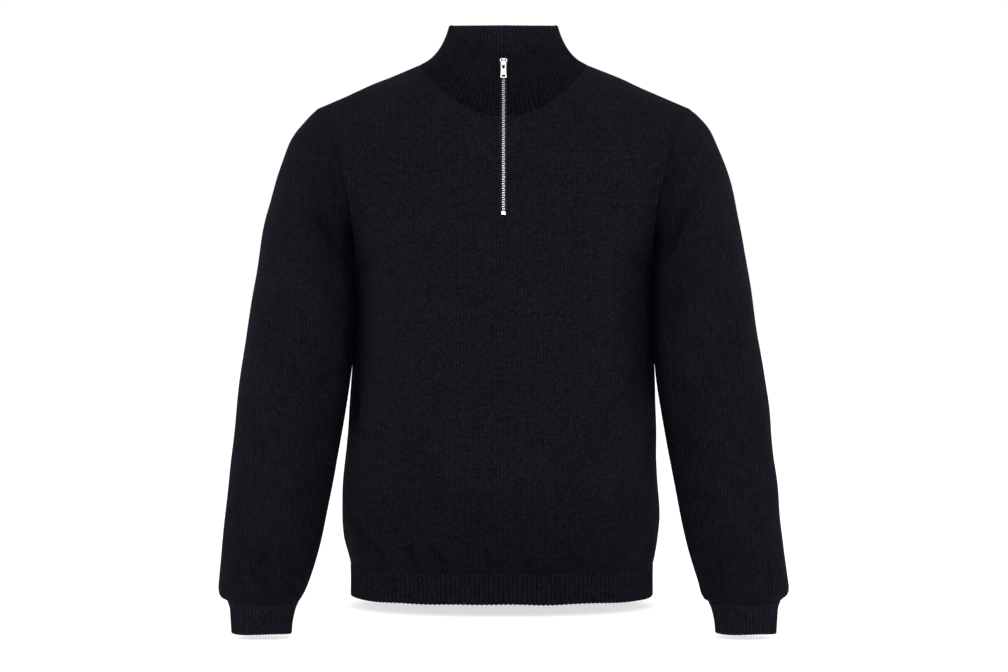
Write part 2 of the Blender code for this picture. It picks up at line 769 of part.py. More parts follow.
def block(name, low, high, finish, frame, bevel=0.0, foot=1.0):
    """A box between two corners in a local frame, its edges rounded and its foot's width scaled."""
    mesh = bpy.data.meshes.new(name)
    solid = bmesh.new()
    size = Vector(high) - Vector(low)
    place = Matrix.Translation((Vector(low) + Vector(high)) / 2) @ Matrix.Diagonal((*size, 1))
    bmesh.ops.create_cube(solid, size=1.0, matrix=place)
    for vertex in solid.verts:
        if vertex.co.z < (low[2] + high[2]) / 2:
            vertex.co.x *= foot
    if bevel:
        bmesh.ops.bevel(
            solid, geom=list(solid.edges), offset=bevel, segments=2, profile=0.5, affect="EDGES"
        )
    solid.to_mesh(mesh)
    solid.free()
    mesh.materials.append(finish)
    obj = bpy.data.objects.new(name, mesh)
    obj.matrix_world = frame
    bpy.context.scene.collection.objects.link(obj)
    return obj


def combine(obj, helper, operation):
    """Joins a hidden helper to the object, or cuts it away."""
    helper.hide_render = True
    helper.display_type = "WIRE"
    step = obj.modifiers.new(helper.name, "BOOLEAN")
    step.operation = operation
    step.object = helper


foot = zip_frame(STOP_FOOT)
tape_front = TAPE / 2 + FIT
stop_low = (-STOP_WIDTH / 2, -tape_front - STOP_THICK, 0)
stop_high = (STOP_WIDTH / 2, -tape_front, STOP_HEIGHT)
block("zip_bottom_stop", stop_low, stop_high, METAL, foot, bevel=ROUNDED)

# --- Zip: slider and pull tab --------------------------------------------------------------------

slider_frame = zip_frame(SLIDER_MIDDLE)
half_width, half_height = SLIDER_WIDTH / 2, SLIDER_HEIGHT / 2
plate_in = CHAIN_THICK / 2 + FIT
plate_out = plate_in + PLATE
slider = block(
    "zip_slider",
    (-half_width, -plate_out, -half_height),
    (half_width, -plate_in, half_height),
    METAL,
    slider_frame,
    bevel=ROUNDED,
    foot=SLIDER_FOOT,
)
back_plate = block(
    "slider_back_plate",
    (-half_width, plate_in, -half_height),
    (half_width, plate_out, half_height),
    METAL,
    slider_frame,
    bevel=ROUNDED,
    foot=SLIDER_FOOT,
)
post = block(
    "slider_post",
    (-POST_WIDTH / 2, -plate_in - PLATE / 2, POST_FOOT),
    (POST_WIDTH / 2, plate_in + PLATE / 2, half_height - POST_BELOW_TOP),
    METAL,
    slider_frame,
)
combine(slider, back_plate, "UNION")
combine(slider, post, "UNION")
lip_far = half_width - LIP_INSET
for side in (LEFT, RIGHT):
    for face in (FRONT, BACK):
        near, far = sorted((side * (lip_far - LIP), side * lip_far))
        tip, root = sorted((face * (tape_front + FIT), face * (plate_in + PLATE / 2)))
        lip = block(
            f"slider_lip_{side}_{face}",
            (near, tip, -half_height + LIP_ABOVE_FOOT),
            (far, root, half_height - LIP_BELOW_TOP),
            METAL,
            slider_frame,
            foot=SLIDER_FOOT,
        )
        combine(slider, lip, "UNION")

cloth_face = TAPE_DEPTH + TAPE / 2  # the cloth's outer face, measured from the chain's middle
PULL_AXIS = cloth_face + FIT + PULL_THICK / 2


def arc(radius, start, end, steps=10):
    turns = [start + (end - start) * step / steps for step in range(steps + 1)]
    return [(-math.sin(turn) * radius, math.cos(turn) * radius) for turn in turns]


def loop_profile():
    """The slider's loop from the side: two sloping legs and a round crown about the tab's axis."""
    root = PULL_AXIS - plate_in - PLATE / 2
    outline = [(root, LOOP_ABOVE), *arc(LOOP_OUTER, *LOOP_CROWN), (root, -LOOP_BELOW)]
    outline += [(root, -LOOP_INNER), *arc(LOOP_INNER, math.pi, 0), (root, LOOP_INNER)]
    return [(y - PULL_AXIS, z - PULL_BELOW_MIDDLE) for y, z in outline]


outline = loop_profile()
count = len(outline)
half_loop = LOOP_WIDTH / 2
points = [(x, y, z) for x in (-half_loop, half_loop) for y, z in outline]
faces = [[at, at + count, (at + 1) % count + count, (at + 1) % count] for at in range(count)]
for at in range(count // 2):
    first, second = at, at + 1
    third, fourth = count - 2 - at, count - 1 - at
    if second < third:
        faces += [[first, second, third, fourth]]
        faces += [[fourth + count, third + count, second + count, first + count]]
loop = add_object("slider_loop", points, faces, METAL)
loop.matrix_world = slider_frame
combine(slider, loop, "UNION")

hinge = bpy.data.objects.new("pull_hinge", None)
hinge.matrix_world = (
    slider_frame
    @ Matrix.Translation((0, -PULL_AXIS, -PULL_BELOW_MIDDLE))
    @ Matrix.Rotation(-PULL_LIFT, 4, "X")
)
bpy.context.scene.collection.objects.link(hinge)
bar = PULL_THICK / 2
pull = block(
    "zip_pull",
    (-PULL_WIDTH / 2, -bar, -PULL_LENGTH + bar),
    (PULL_WIDTH / 2, bar, bar),
    METAL,
    Matrix(),
    bevel=ROUNDED,
    foot=PULL_FOOT,
)
eye = block(
    "pull_eye",
    (-EYE_WIDTH / 2, -CUT_DEPTH, -EYE_FOOT),
    (EYE_WIDTH / 2, CUT_DEPTH, -bar),
    METAL,
    Matrix(),
)
slot_middle = -PULL_LENGTH + bar + PULL_SLOT_ABOVE_FOOT
slot = block(
    "pull_slot",
    (-PULL_SLOT_WIDTH / 2, -CUT_DEPTH, slot_middle - PULL_SLOT_HEIGHT / 2),
    (PULL_SLOT_WIDTH / 2, CUT_DEPTH, slot_middle + PULL_SLOT_HEIGHT / 2),
    METAL,
    Matrix(),
)
for piece in (pull, eye, slot):
    piece.parent = hinge
combine(pull, eye, "DIFFERENCE")
combine(pull, slot, "DIFFERENCE")
net.free()
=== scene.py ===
import math

import bpy
import numpy as np
from mathutils import Matrix, Vector


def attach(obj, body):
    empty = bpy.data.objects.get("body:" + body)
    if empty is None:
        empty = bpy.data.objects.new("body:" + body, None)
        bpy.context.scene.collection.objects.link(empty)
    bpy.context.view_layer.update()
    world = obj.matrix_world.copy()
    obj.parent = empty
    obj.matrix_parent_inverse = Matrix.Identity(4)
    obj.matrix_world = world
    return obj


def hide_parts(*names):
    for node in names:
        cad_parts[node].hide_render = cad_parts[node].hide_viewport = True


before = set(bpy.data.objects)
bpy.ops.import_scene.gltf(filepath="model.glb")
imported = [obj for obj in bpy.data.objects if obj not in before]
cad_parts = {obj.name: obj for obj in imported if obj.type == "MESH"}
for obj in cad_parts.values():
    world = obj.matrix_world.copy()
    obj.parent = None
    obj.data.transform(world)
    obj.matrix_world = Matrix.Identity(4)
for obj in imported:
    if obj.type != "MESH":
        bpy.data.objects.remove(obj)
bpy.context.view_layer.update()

# --- Front ---
# The front is one panel of plain jersey, knitted in thick matt cotton from the hem rib up to the
# neckline, with a slit for the zip down its middle. Its edges are linked to the back and sleeves.

def metres(*rows):
    """A table that is written in millimetres."""
    return np.array(rows) / 1000


FRONT, BACK = -1, 1  # the sign of y
LEFT, RIGHT = 1, -1  # the wearer's, as the sign of x
CLOTH = 0.0026
SEAM_GAP = 0.0003
RIB_TOP_Z, ARMPIT_Z = -0.622, -0.235
BODY_ROUNDNESS = 2.35
BODY_RINGS = metres(
    # height, half width on the wearer's left and on the right, depth in front and behind
    (-659, 186.2, 190.5, 117.5, 101),
    (-622, 186.6, 191, 120, 103),
    (-608, 189.3, 194.5, 130, 110),
    (-590, 192.5, 199, 135, 114),
    (-560, 194.4, 200.6, 135, 113),
    (-500, 191.2, 197.8, 131.5, 108),
    (-440, 188.8, 193, 130.5, 105.5),
    (-370, 188, 188.5, 132, 108),
    (-300, 188.2, 188, 133.8, 114),
    (-235, 188.5, 188.5, 134, 119),
)
NECK_HALF = 0.1045
NECKLINES = {
    # y and z at the centre, and how late the neckline drops to there
    FRONT: (-0.1000, -0.0745, 1.8),
    BACK: (0.0750, -0.0220, 1.3),
}
SHOULDER_POINT = (0.2325, 0.0, -0.0549)
ARMHOLE_CURVES = {
    # from the armpit to the shoulder point: the two middle points of a Bezier curve
    FRONT: ((0.1720, -0.1000, -0.2250), (0.2130, -0.0700, -0.0660)),
    BACK: ((0.1780, 0.0950, -0.2200), (0.2160, 0.0720, -0.0640)),
}
ARMHOLE_FROM = 0.55  # the share of a row from which the columns lean with the armhole
NECK_SHARE = 5 / 12  # the share of a row that ends on the neckline
UPPER_COLUMNS = (
    # share of the half width, then for the front and again for the back: rise at the armpit,
    # reach at the top, and its slope there in degrees
    (0.00, 0.055, 0.050, 69, 0.080, 0.070, 60),
    (0.17, 0.062, 0.050, 60, 0.085, 0.065, 54),
    (0.25, 0.075, 0.052, 52, 0.092, 0.060, 46),
    (0.33, 0.105, 0.052, 40, 0.108, 0.055, 34),
    (0.42, 0.120, 0.085, 12, 0.120, 0.080, 10),
    (0.50, 0.118, 0.084, 8, 0.118, 0.080, 7),
    (0.60, 0.110, 0.082, 6, 0.110, 0.080, 6),
    (0.80, 0.100, 0.078, 5, 0.100, 0.078, 5),
    (1.00, 0.080, 0.075, 5, 0.080, 0.075, 5),
)
SLIT_FOOT_Z = -0.197
SLIT_HALF, SLIT_HALF_AT_SLIDER = 0.0037, 0.0057
SLIT_WIDENS_Z = (-0.022, -0.006)
SLIT_FADE = 1 / 12  # share of a row over which the slit's edge pushes the cloth aside


def smooth(share):
    share = np.clip(share, 0.0, 1.0)
    return share * share * (3 - 2 * share)


def ramp(value, start, end):
    """From 0 at the start to 1 at the end, which may be the lower of the two."""
    return smooth((value - start) / (end - start))


def spot(distance, width):
    """1 on a line, and fading out beside it."""
    return np.exp(-((distance / width) ** 2))


def read(table, keys):
    """The table's rows at these keys, its first column, on smooth curves through the rows."""
    rows, keys = np.array(table, float), np.atleast_1d(np.asarray(keys, float))
    last = len(rows) - 1
    at = np.clip(np.searchsorted(rows[:, 0], keys, side="right") - 1, 0, last - 1)
    before, low, high, after = (rows[np.clip(at + step, 0, last)] for step in (-1, 0, 1, 2))
    width = high[:, :1] - low[:, :1]
    share = np.clip((keys[:, None] - low[:, :1]) / width, 0, 1)
    rise_low = (high - before)[:, 1:] / (high - before)[:, :1] * width
    rise_high = (after - low)[:, 1:] / (after - low)[:, :1] * width
    square, cube = share**2, share**3
    return (
        (2 * cube - 3 * square + 1) * low[:, 1:]
        + (cube - 2 * square + share) * rise_low
        + (3 * square - 2 * cube) * high[:, 1:]
        + (cube - square) * rise_high
    )


def bezier(start, low, high, end, share):
    rest = 1 - share
    return start * rest**3 + low * 3 * rest**2 * share + high * 3 * rest * share**2 + end * share**3


def slit_half(height):
    return SLIT_HALF + (SLIT_HALF_AT_SLIDER - SLIT_HALF) * ramp(height, *SLIT_WIDENS_Z)


def slit_push(height, shares):
    """How far the open slit pushes the cloth aside, at shares of a row from the middle."""
    return slit_half(height) * np.maximum(1 - shares / SLIT_FADE, 0)


def body_row(height, side, face, shares):
    """Half a panel's row at this height: points at shares of its length, from centre to side."""
    left, right, front, back = read(BODY_RINGS, height)[0]
    half_width, depth = (left if side == LEFT else right), (front if face == FRONT else back)
    angle = np.linspace(0, math.pi / 2, 900)
    x = half_width * np.sin(angle) ** (2 / BODY_ROUNDNESS)
    y = depth * np.maximum(np.cos(angle), 0) ** (2 / BODY_ROUNDNESS)
    travelled = np.append(0, np.cumsum(np.hypot(np.diff(x), np.diff(y))))
    at = np.asarray(shares) * travelled[-1]
    across, deep = np.interp(at, travelled, x), np.interp(at, travelled, y)
    return np.stack([side * across, face * deep, np.full(len(at), height)], axis=1)


def neck_turn(along):
    """The angle round the neck at a share of the way from its centre to its side."""
    return (np.arcsin(along) + along * math.pi / 2) / 2


def neckline(turn, side, face):
    y, z, dip = NECKLINES[face]
    cosine = np.maximum(np.cos(turn), 0)
    return np.stack([side * NECK_HALF * np.sin(turn), y * cosine, z * cosine**dip], axis=1)


def top_edge(shares, side, face):
    """Where the panel's columns end: on the neckline, then along the shoulder seam."""
    neck = neckline(neck_turn(np.clip(shares / NECK_SHARE, 0, 1)), side, face)
    past = np.clip((shares - NECK_SHARE) / (1 - NECK_SHARE), 0, 1)
    x, y, z = SHOULDER_POINT
    shoulder = np.stack([side * (NECK_HALF + (x - NECK_HALF) * past), y * past, z * past], axis=1)
    return np.where((shares <= NECK_SHARE)[:, None], neck, shoulder)


def upper_rows(feet, shares, side, face, rises):
    """Rows of the panel above the armpit, at shares of the rise of the columns on these feet."""
    low, high = (np.array((side * x, y, z)) for x, y, z in ARMHOLE_CURVES[face])
    ends = top_edge(shares, side, face)
    front_and_back = read(UPPER_COLUMNS, shares).T
    up, reach, slope = front_and_back[:3] if face == FRONT else front_and_back[3:]
    slope = np.radians(slope)
    start_arm = np.stack([0 * up, 0 * up, up], axis=1)
    end_arm = np.stack([0 * up, -face * np.cos(slope) * reach, np.sin(slope) * reach], axis=1)
    at_armhole = ramp(shares, ARMHOLE_FROM, 1)[:, None]
    start_arm += (low - feet - start_arm) * at_armhole
    end_arm += (ends - high - end_arm) * at_armhole
    rises = np.asarray(rises)[:, None, None]
    return bezier(feet, feet + start_arm, ends - end_arm, ends, rises)


# The columns of half a panel, with two more close to the neckline's corner.
SHARES = np.sort(np.append(np.linspace(0, 1, 73), NECK_SHARE * np.array((0.985, 0.996))))
SHARE_OF = {
    FRONT: np.concatenate([-SHARES[::-1], [0], SHARES]),
    BACK: np.concatenate([-SHARES[:0:-1], SHARES]),
}
CORNER_EASE, CORNER_WIDTH, CORNER_FROM = 70, 0.17, 0.90  # passes, and shares of row and rise
ROW_HEIGHTS = np.linspace(RIB_TOP_Z, ARMPIT_Z, 116)
ARMPIT_ROW = len(ROW_HEIGHTS) - 1


def front_middle(rises):
    """The front's middle line above the armpit, at these shares of its rise."""
    foot = body_row(ARMPIT_Z, LEFT, FRONT, [0.0])
    return upper_rows(foot, np.zeros(1), LEFT, FRONT, rises)[:, 0]


rise_steps = np.linspace(0, 1, 2001)
SLIT_RISE = float(np.interp(SLIT_FOOT_Z, front_middle(rise_steps)[:, 2], rise_steps))
RISES = np.append(np.linspace(0, SLIT_RISE, 14), np.linspace(SLIT_RISE, 1, 56)[1:])
SLIT_ROW = ARMPIT_ROW + 13


def half_panel(side, face):
    lower = np.array([body_row(height, side, face, SHARES) for height in ROW_HEIGHTS])
    upper = upper_rows(lower[-1], SHARES, side, face, RISES[1:])
    # Below the corner where the neckline meets the shoulder seam the cloth runs smoothly across.
    eased = upper.copy()
    for _ in range(CORNER_EASE):
        eased[:, 1:-1] = (eased[:, :-2] + 2 * eased[:, 1:-1] + eased[:, 2:]) / 4
    below_corner = spot(SHARES - NECK_SHARE, CORNER_WIDTH)[:, None]
    upper += (eased - upper) * below_corner * ramp(RISES[1:], 1, CORNER_FROM)[:, None, None]
    rows = np.concatenate([lower, upper])
    if face == FRONT:
        rows[:, :, 0] += side * slit_push(rows[:, :, 2], SHARES)
    return rows


def panel(face):
    """The panel's outer face from the rib up, each row from the wearer's right to the left."""
    left, right = half_panel(LEFT, face), half_panel(RIGHT, face)
    if face == BACK:
        return np.concatenate([right[:, :0:-1], left], axis=1)
    centre = left[:, :1] * (0, 1, 1)  # the slit's middle, where no cloth is made
    return np.concatenate([right[:, ::-1], centre, left], axis=1)


def unit(vectors):
    return vectors / np.maximum(np.linalg.norm(vectors, axis=-1, keepdims=True), 1e-12)


def normals_of(grid, out):
    """The grid's unit normals. out is 1 or -1, whichever turns them out of the garment."""
    return unit(np.cross(np.gradient(grid, axis=1), np.gradient(grid, axis=0)) * out)


def travelled_along(grid, axis):
    steps = np.linalg.norm(np.diff(grid, axis=axis), axis=2)
    start = np.zeros_like(np.take(steps, [0], axis=axis))
    return np.cumsum(np.concatenate([start, steps], axis=axis), axis=axis)


LINKED_SEAM, FLAT_SEAM, SEAM_GROOVE = 0.0006, 0.0002, 0.0026  # two depths and one width
LINKED_SHADE, FLAT_SHADE = 0.0028, 0.0016  # how wide the painted shade along each kind of seam reads
# How dark the painted shade in a seam's groove is.
SEAM_DARK = 0.05
NEAR_SEAM = 0.010  # within this of a seam, folds and unevenness fade out


def sink_at_seam(distance, depth=LINKED_SEAM):
    """A linked seam draws the edges of its two pieces in, which leaves a soft groove."""
    return depth * spot(distance, SEAM_GROOVE)


RIDGE, RIDGE_AT, RIDGE_WIDTH = 0.55, 1.9, 1.2  # a share of the trough's depth, and half widths


def creases(grid, normals, strokes, face):
    """Soft troughs with a low ridge on one side, laid on the cloth that shows from this face."""
    shift = np.zeros(grid.shape[:2])
    facing = smooth(face * normals[:, :, 1] * 1.6)
    for x0, z0, x1, z1, bow, half_width, depth in strokes:
        length = math.hypot(x1 - x0, z1 - z0)
        way = np.array((x1 - x0, z1 - z0)) / length
        offset = grid[:, :, [0, 2]] - (x0, z0)
        along = np.clip(offset @ way / length, 0, 1)
        across = offset @ (-way[1], way[0]) - bow * 4 * along * (1 - along)
        taper = smooth(along * 3.5) * smooth((1 - along) * 2.5)
        ridge = spot(across - RIDGE_AT * half_width, RIDGE_WIDTH * half_width)
        shift += depth * taper * (RIDGE * ridge - spot(across, half_width)) * facing
    return shift


def unevenness(grid):
    """The slight unevenness with which heavy knitwear hangs."""
    x, y, z = np.moveaxis(grid, 2, 0)
    waves = (
        # radians per metre along x, y and z, where it starts, height
        (61, 37, 23, 0.3, 0.00050),
        (-43, 52, 38, 1.9, 0.00045),
        (97, -21, -54, 4.1, 0.00028),
        (24, 66, -71, 2.6, 0.00035),
        (131, 80, 61, 5.2, 0.00018),
    )
    return sum(height * np.sin(a * x + b * y + c * z + s) for a, b, c, s, height in waves)


def put(name, data):
    """A new object in the scene."""
    thing = bpy.data.objects.new(name, data)
    bpy.context.scene.collection.objects.link(thing)
    return thing


def smooth_piece(name, points, faces, layers, finish, sharp_from, body, node):
    """A visible piece, which rides on a body and stands for a node of the part."""
    mesh = bpy.data.meshes.new(name)
    mesh.from_pydata(points, [], faces)
    for layer, values in layers.items():
        kind, field = ("FLOAT_VECTOR", "vector") if layer == "knit" else ("FLOAT", "value")
        values = np.asarray(values, np.float32).ravel()
        mesh.attributes.new(layer, kind, "POINT").data.foreach_set(field, values)
    mesh.materials.append(finish)
    mesh.shade_smooth()
    mesh.set_sharp_from_angle(angle=math.radians(sharp_from))
    piece = put(name, mesh)
    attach(piece, body)
    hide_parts(node)
    return piece


def wall(name, node, slot, outer, normals, knit, painted_shading, finish, thickness, out=1, left_out=None):
    """A knitted wall: an outer face on this grid, an inner face inside it, and rims between."""
    rows, columns = outer.shape[:2]
    count = rows * columns
    index = np.arange(count).reshape(rows, columns)
    cells = np.stack([index[:-1, :-1], index[:-1, 1:], index[1:, 1:], index[1:, :-1]], axis=2)
    quads = cells.reshape(-1, 4) if left_out is None else cells[~left_out]
    quads = quads if out == 1 else quads[:, ::-1]
    inner = outer - normals * thickness[:, :, None]
    edges = np.concatenate([quads[:, [at, (at + 1) % 4]] for at in range(4)])
    forward, backward = edges @ (count, 1), edges @ (1, count)
    border = edges[~np.isin(forward, backward)]
    rims = np.stack([border[:, 1], border[:, 0], border[:, 0] + count, border[:, 1] + count], 1)
    faces = np.concatenate([quads, quads[:, ::-1] + count, rims])
    used, faces = np.unique(faces.ravel(), return_inverse=True)
    points = np.concatenate([outer.reshape(-1, 3), inner.reshape(-1, 3)])[used].tolist()
    # The shading layer carries painted shade, and painted light on the collar's inside, into the
    # finish.
    layers = {
        layer: np.tile(values.reshape(count, -1), (2, 1))[used]
        for layer, values in (("knit", knit), ("painted_shading", painted_shading))
    }
    faces = faces.reshape(-1, 4).tolist()
    return smooth_piece(name, points, faces, layers, finish, 60, "garment", node)


class Dye:
    """A socket in a material's tree. Sums and products of it add Math nodes."""

    def __init__(self, tree, socket=None):
        self.tree, self.socket = tree, socket

    def node(self, kind, settings, inputs, output=0):
        """Any other node, from its settings and the values or links of its sockets."""
        made = self.tree.nodes.new("ShaderNode" + kind)
        for name, value in settings.items():
            setattr(made, name, value)
        for name, value in inputs.items():
            if isinstance(value, Dye):
                self.tree.links.new(value.socket, made.inputs[name])
            else:
                made.inputs[name].default_value = value
        return Dye(self.tree, made.outputs[output])

    def maths(self, operation, *values):
        return self.node("Math", {"operation": operation}, dict(enumerate(values)))

    def noise(self, scale, detail, output=0):
        sockets = {"Vector": self, "Scale": scale, "Detail": detail}
        return self.node("TexNoise", {}, sockets, output)

    def part(self, axis):
        return self.node("SeparateXYZ", {}, {0: self}, axis)

    def between(self, low, high):
        """Its place between two values, from 0 to 1."""
        return self.node("MapRange", {}, {"Value": self, "From Min": low, "From Max": high})

    def blend(self, start, end):
        """From one colour to another as this goes from 0 to 1."""
        return self.node("Mix", {"data_type": "RGBA"}, {0: self, 6: start, 7: end}, 2)

    def into(self, shader, name):
        self.tree.links.new(self.socket, shader.inputs[name])

    def bump(self, distance, shader):
        sockets = {"Strength": 1.0, "Distance": distance, "Height": self}
        self.node("Bump", {}, sockets).into(shader, "Normal")

    def __add__(self, other):
        return self.maths("ADD", self, other)

    def __sub__(self, other):
        return self.maths("SUBTRACT", self, other)

    def __rsub__(self, other):
        return self.maths("SUBTRACT", other, self)

    def __mul__(self, other):
        return self.maths("MULTIPLY", self, other)

    def __truediv__(self, other):
        return self.maths("DIVIDE", self, other)

    def __pow__(self, other):
        return self.maths("POWER", self, other)

    __radd__, __rmul__ = __add__, __mul__


def finish_of(name, constants):
    """A new material, its shader with these constants set, and its tree."""
    finish = bpy.data.materials.new(name)
    finish.use_nodes = True
    shader = finish.node_tree.nodes["Principled BSDF"]
    for socket, value in constants.items():
        shader.inputs[socket].default_value = value
    return finish, shader, Dye(finish.node_tree)


NAVY = (0.0080, 0.0086, 0.0121, 1)
# the painted shade between the stitches
NAVY_GROOVE_SHADE = (0.0006, 0.0006, 0.0010, 1)
NAVY_FIBRE = (0.0188, 0.0203, 0.0284, 1)
SHADED, WORN = 0.97, 0.16  # the most that the painted shading layer and wear take off the colour
COTTON = {
    "Specular IOR Level": 0.015,
    "Sheen Weight": 0.01,
    "Sheen Roughness": 0.5,
    "Sheen Tint": (0.55, 0.64, 1.0, 1),
}


def knitted_finish(name, wale, course, stitch_share, relief, groove, tone=1.0):
    """Plain cotton stitches: each wale is a column of Vs, and each V the two legs of a loop.

    groove says how dark the painted shade between the stitches is, from 0 to 1, and tone scales the
    whole colour, painting a band darker or lighter.
    """
    finish, shader, dye = finish_of(name, COTTON)
    place = dye.node("Attribute", {"attribute_name": "knit"}, {}, "Vector")
    painted_shading = dye.node("Attribute", {"attribute_name": "painted_shading"}, {}, "Fac")
    # Wales and courses, counted, which sway a little; and where in its wale a place is.
    sway = place.noise(55.0, 1.0, "Color")
    u = place.part(0) / wale + (sway.part(0) - 0.5) * 0.5
    v = place.part(1) / course + (sway.part(1) - 0.5)
    from_middle = dye.maths("ABSOLUTE", dye.maths("FRACT", u) - 0.5)
    aside = dye.maths("MINIMUM", from_middle * (2 / stitch_share), 1)
    leg = dye.maths("COSINE", (v - aside * 0.6) * (2 * math.pi))
    crown = dye.maths("SINE", (aside * 0.74 + 0.20) * math.pi)
    stitch = crown * (leg * 0.22 + 0.78) * (1 - aside**5 * 0.85)
    loop = dye.node("CombineXYZ", {}, {0: dye.maths("FLOOR", u), 1: dye.maths("FLOOR", v)})
    each = dye.node("TexWhiteNoise", {"noise_dimensions": "2D"}, {"Vector": loop})
    fibres, heather, wear = place.noise(1100.0, 3.0), place.noise(260.0, 4.0), place.noise(9.0, 2.0)
    # Painted shade: the colour darkens towards the groove shade between the stitches.
    lit = stitch.between(0.05, 0.85) * groove + 0.5 * (1 - groove)
    yarn = (lit * (0.55 + each * 0.45)).blend(NAVY_GROOVE_SHADE, NAVY)
    flecks = heather.between(0.50, 0.78) * fibres.between(0.40, 0.70) * 0.8
    # The shading layer paints shade, and on the collar's inside light; wear mottles the colour at
    # random, and tone scales it.
    shade = (1.0 - painted_shading * SHADED - (1 - wear.between(0.25, 0.75)) * WORN) * tone
    grey = dye.node("CombineColor", {}, {0: shade, 1: shade, 2: shade})
    times = {"data_type": "RGBA", "blend_type": "MULTIPLY"}
    sockets = {0: 1.0, 6: flecks.blend(yarn, NAVY_FIBRE), 7: grey}
    dye.node("Mix", times, sockets, 2).into(shader, "Base Color")
    (0.97 - fibres * 0.12).into(shader, "Roughness")
    (stitch + fibres * 0.2).bump(relief, shader)
    return finish


jersey_finish = knitted_finish("navy_cotton_jersey", 0.0040, 0.0031, 1.0, 0.0005, 0.55)


UPRIGHT = 0.3  # how far the wales lean uphill rather than straight up the panel


def wale_lengths(grid, out, middle):
    """Metres across the wales from the middle column, and metres up them from the first row."""
    normals = normals_of(grid, out)
    nx, ny, nz = np.moveaxis(normals, 2, 0)
    up = np.stack([-nz * nx, -nz * ny, 1 - nz**2], axis=2)
    wales = unit(np.stack([0 * nx, out * nz, -out * ny], axis=2) + UPRIGHT * up)
    across = np.diff(grid, axis=1)
    way = unit(wales[:, 1:] + wales[:, :-1])
    steps = np.linalg.norm(across - way * (across * way).sum(axis=2, keepdims=True), axis=2)
    u = np.concatenate([np.zeros((len(grid), 1)), np.cumsum(steps, axis=1)], axis=1)
    rise = (np.diff(grid, axis=0) * unit(wales[1:] + wales[:-1])).sum(axis=2)
    v = np.concatenate([np.zeros((1, grid.shape[1])), np.cumsum(rise, axis=0)])
    return u - u[:, middle : middle + 1], v


FRONT_CREASES = metres(
    # x and z of the start and of the end, bow, half width, depth
    (-188, -552, -164, -606, 3, 8, 4.6),
    (-168, -576, -139, -618, 2, 7, 4.8),
    (-112, -583, -98, -620, -2, 6.5, 3.2),
    (-86, -588, -63, -621, 2, 6.5, 4),
    (-26, -592, -8, -622, 1, 6, 2.8),
    (32, -600, 24, -622, 1, 5.5, 2.6),
    (50, -596, 80, -578, -2, 6.5, 2.6),
    (77, -596, 97, -624, 1, 6, 3.2),
    (138, -584, 123, -620, 2, 7, 3.4),
    (186, -582, 160, -618, 2, 7.5, 4.4),
    (184, -428, 168, -508, 4, 11, 3.8),
    (-184, -396, -172, -482, -4, 12, 1.8),
    (-178, -264, -128, -232, 4, 10, 1.6),
    (178, -264, 132, -229, -4, 10, 1.6),
    (-122, -446, -84, -572, 10, 24, 1.8),
    (114, -430, 78, -566, -12, 26, 1.8),
    (-34, -374, 14, -506, 14, 30, 1.2),
)
DARK_SIDES = {
    # reach from the middle where the painted shade begins and where it is darkest, how dark, where
    # the painted shade in the fold beside the sleeve begins, and the height of its foot
    LEFT: (0.125, 0.172, 0.50, 0.1728, -0.42),
    RIGHT: (0.158, 0.173, 0.38, 0.1728, -0.48),
}
FOLD_TOP_Z = (-0.235, -0.270)
SIDE_TOP_Z, SIDE_FOOT_Z = (-0.21, -0.26), (-0.46, -0.38)
SIDE_Y = (0.030, -0.025)  # the painted shade darkens in front of here, from nothing to full
# Painted shade, darker towards the hem.
LOW_DARK, LOW_Z = 0.19, (-0.49, -0.56)
CREASE_DARK = 42.0  # painted shade in a crease's trough, for each metre that it sinks
SLIT_CALM, SLIT_FLAT = 0.030, 0.008  # how far the zip holds the cloth beside it even, and flat


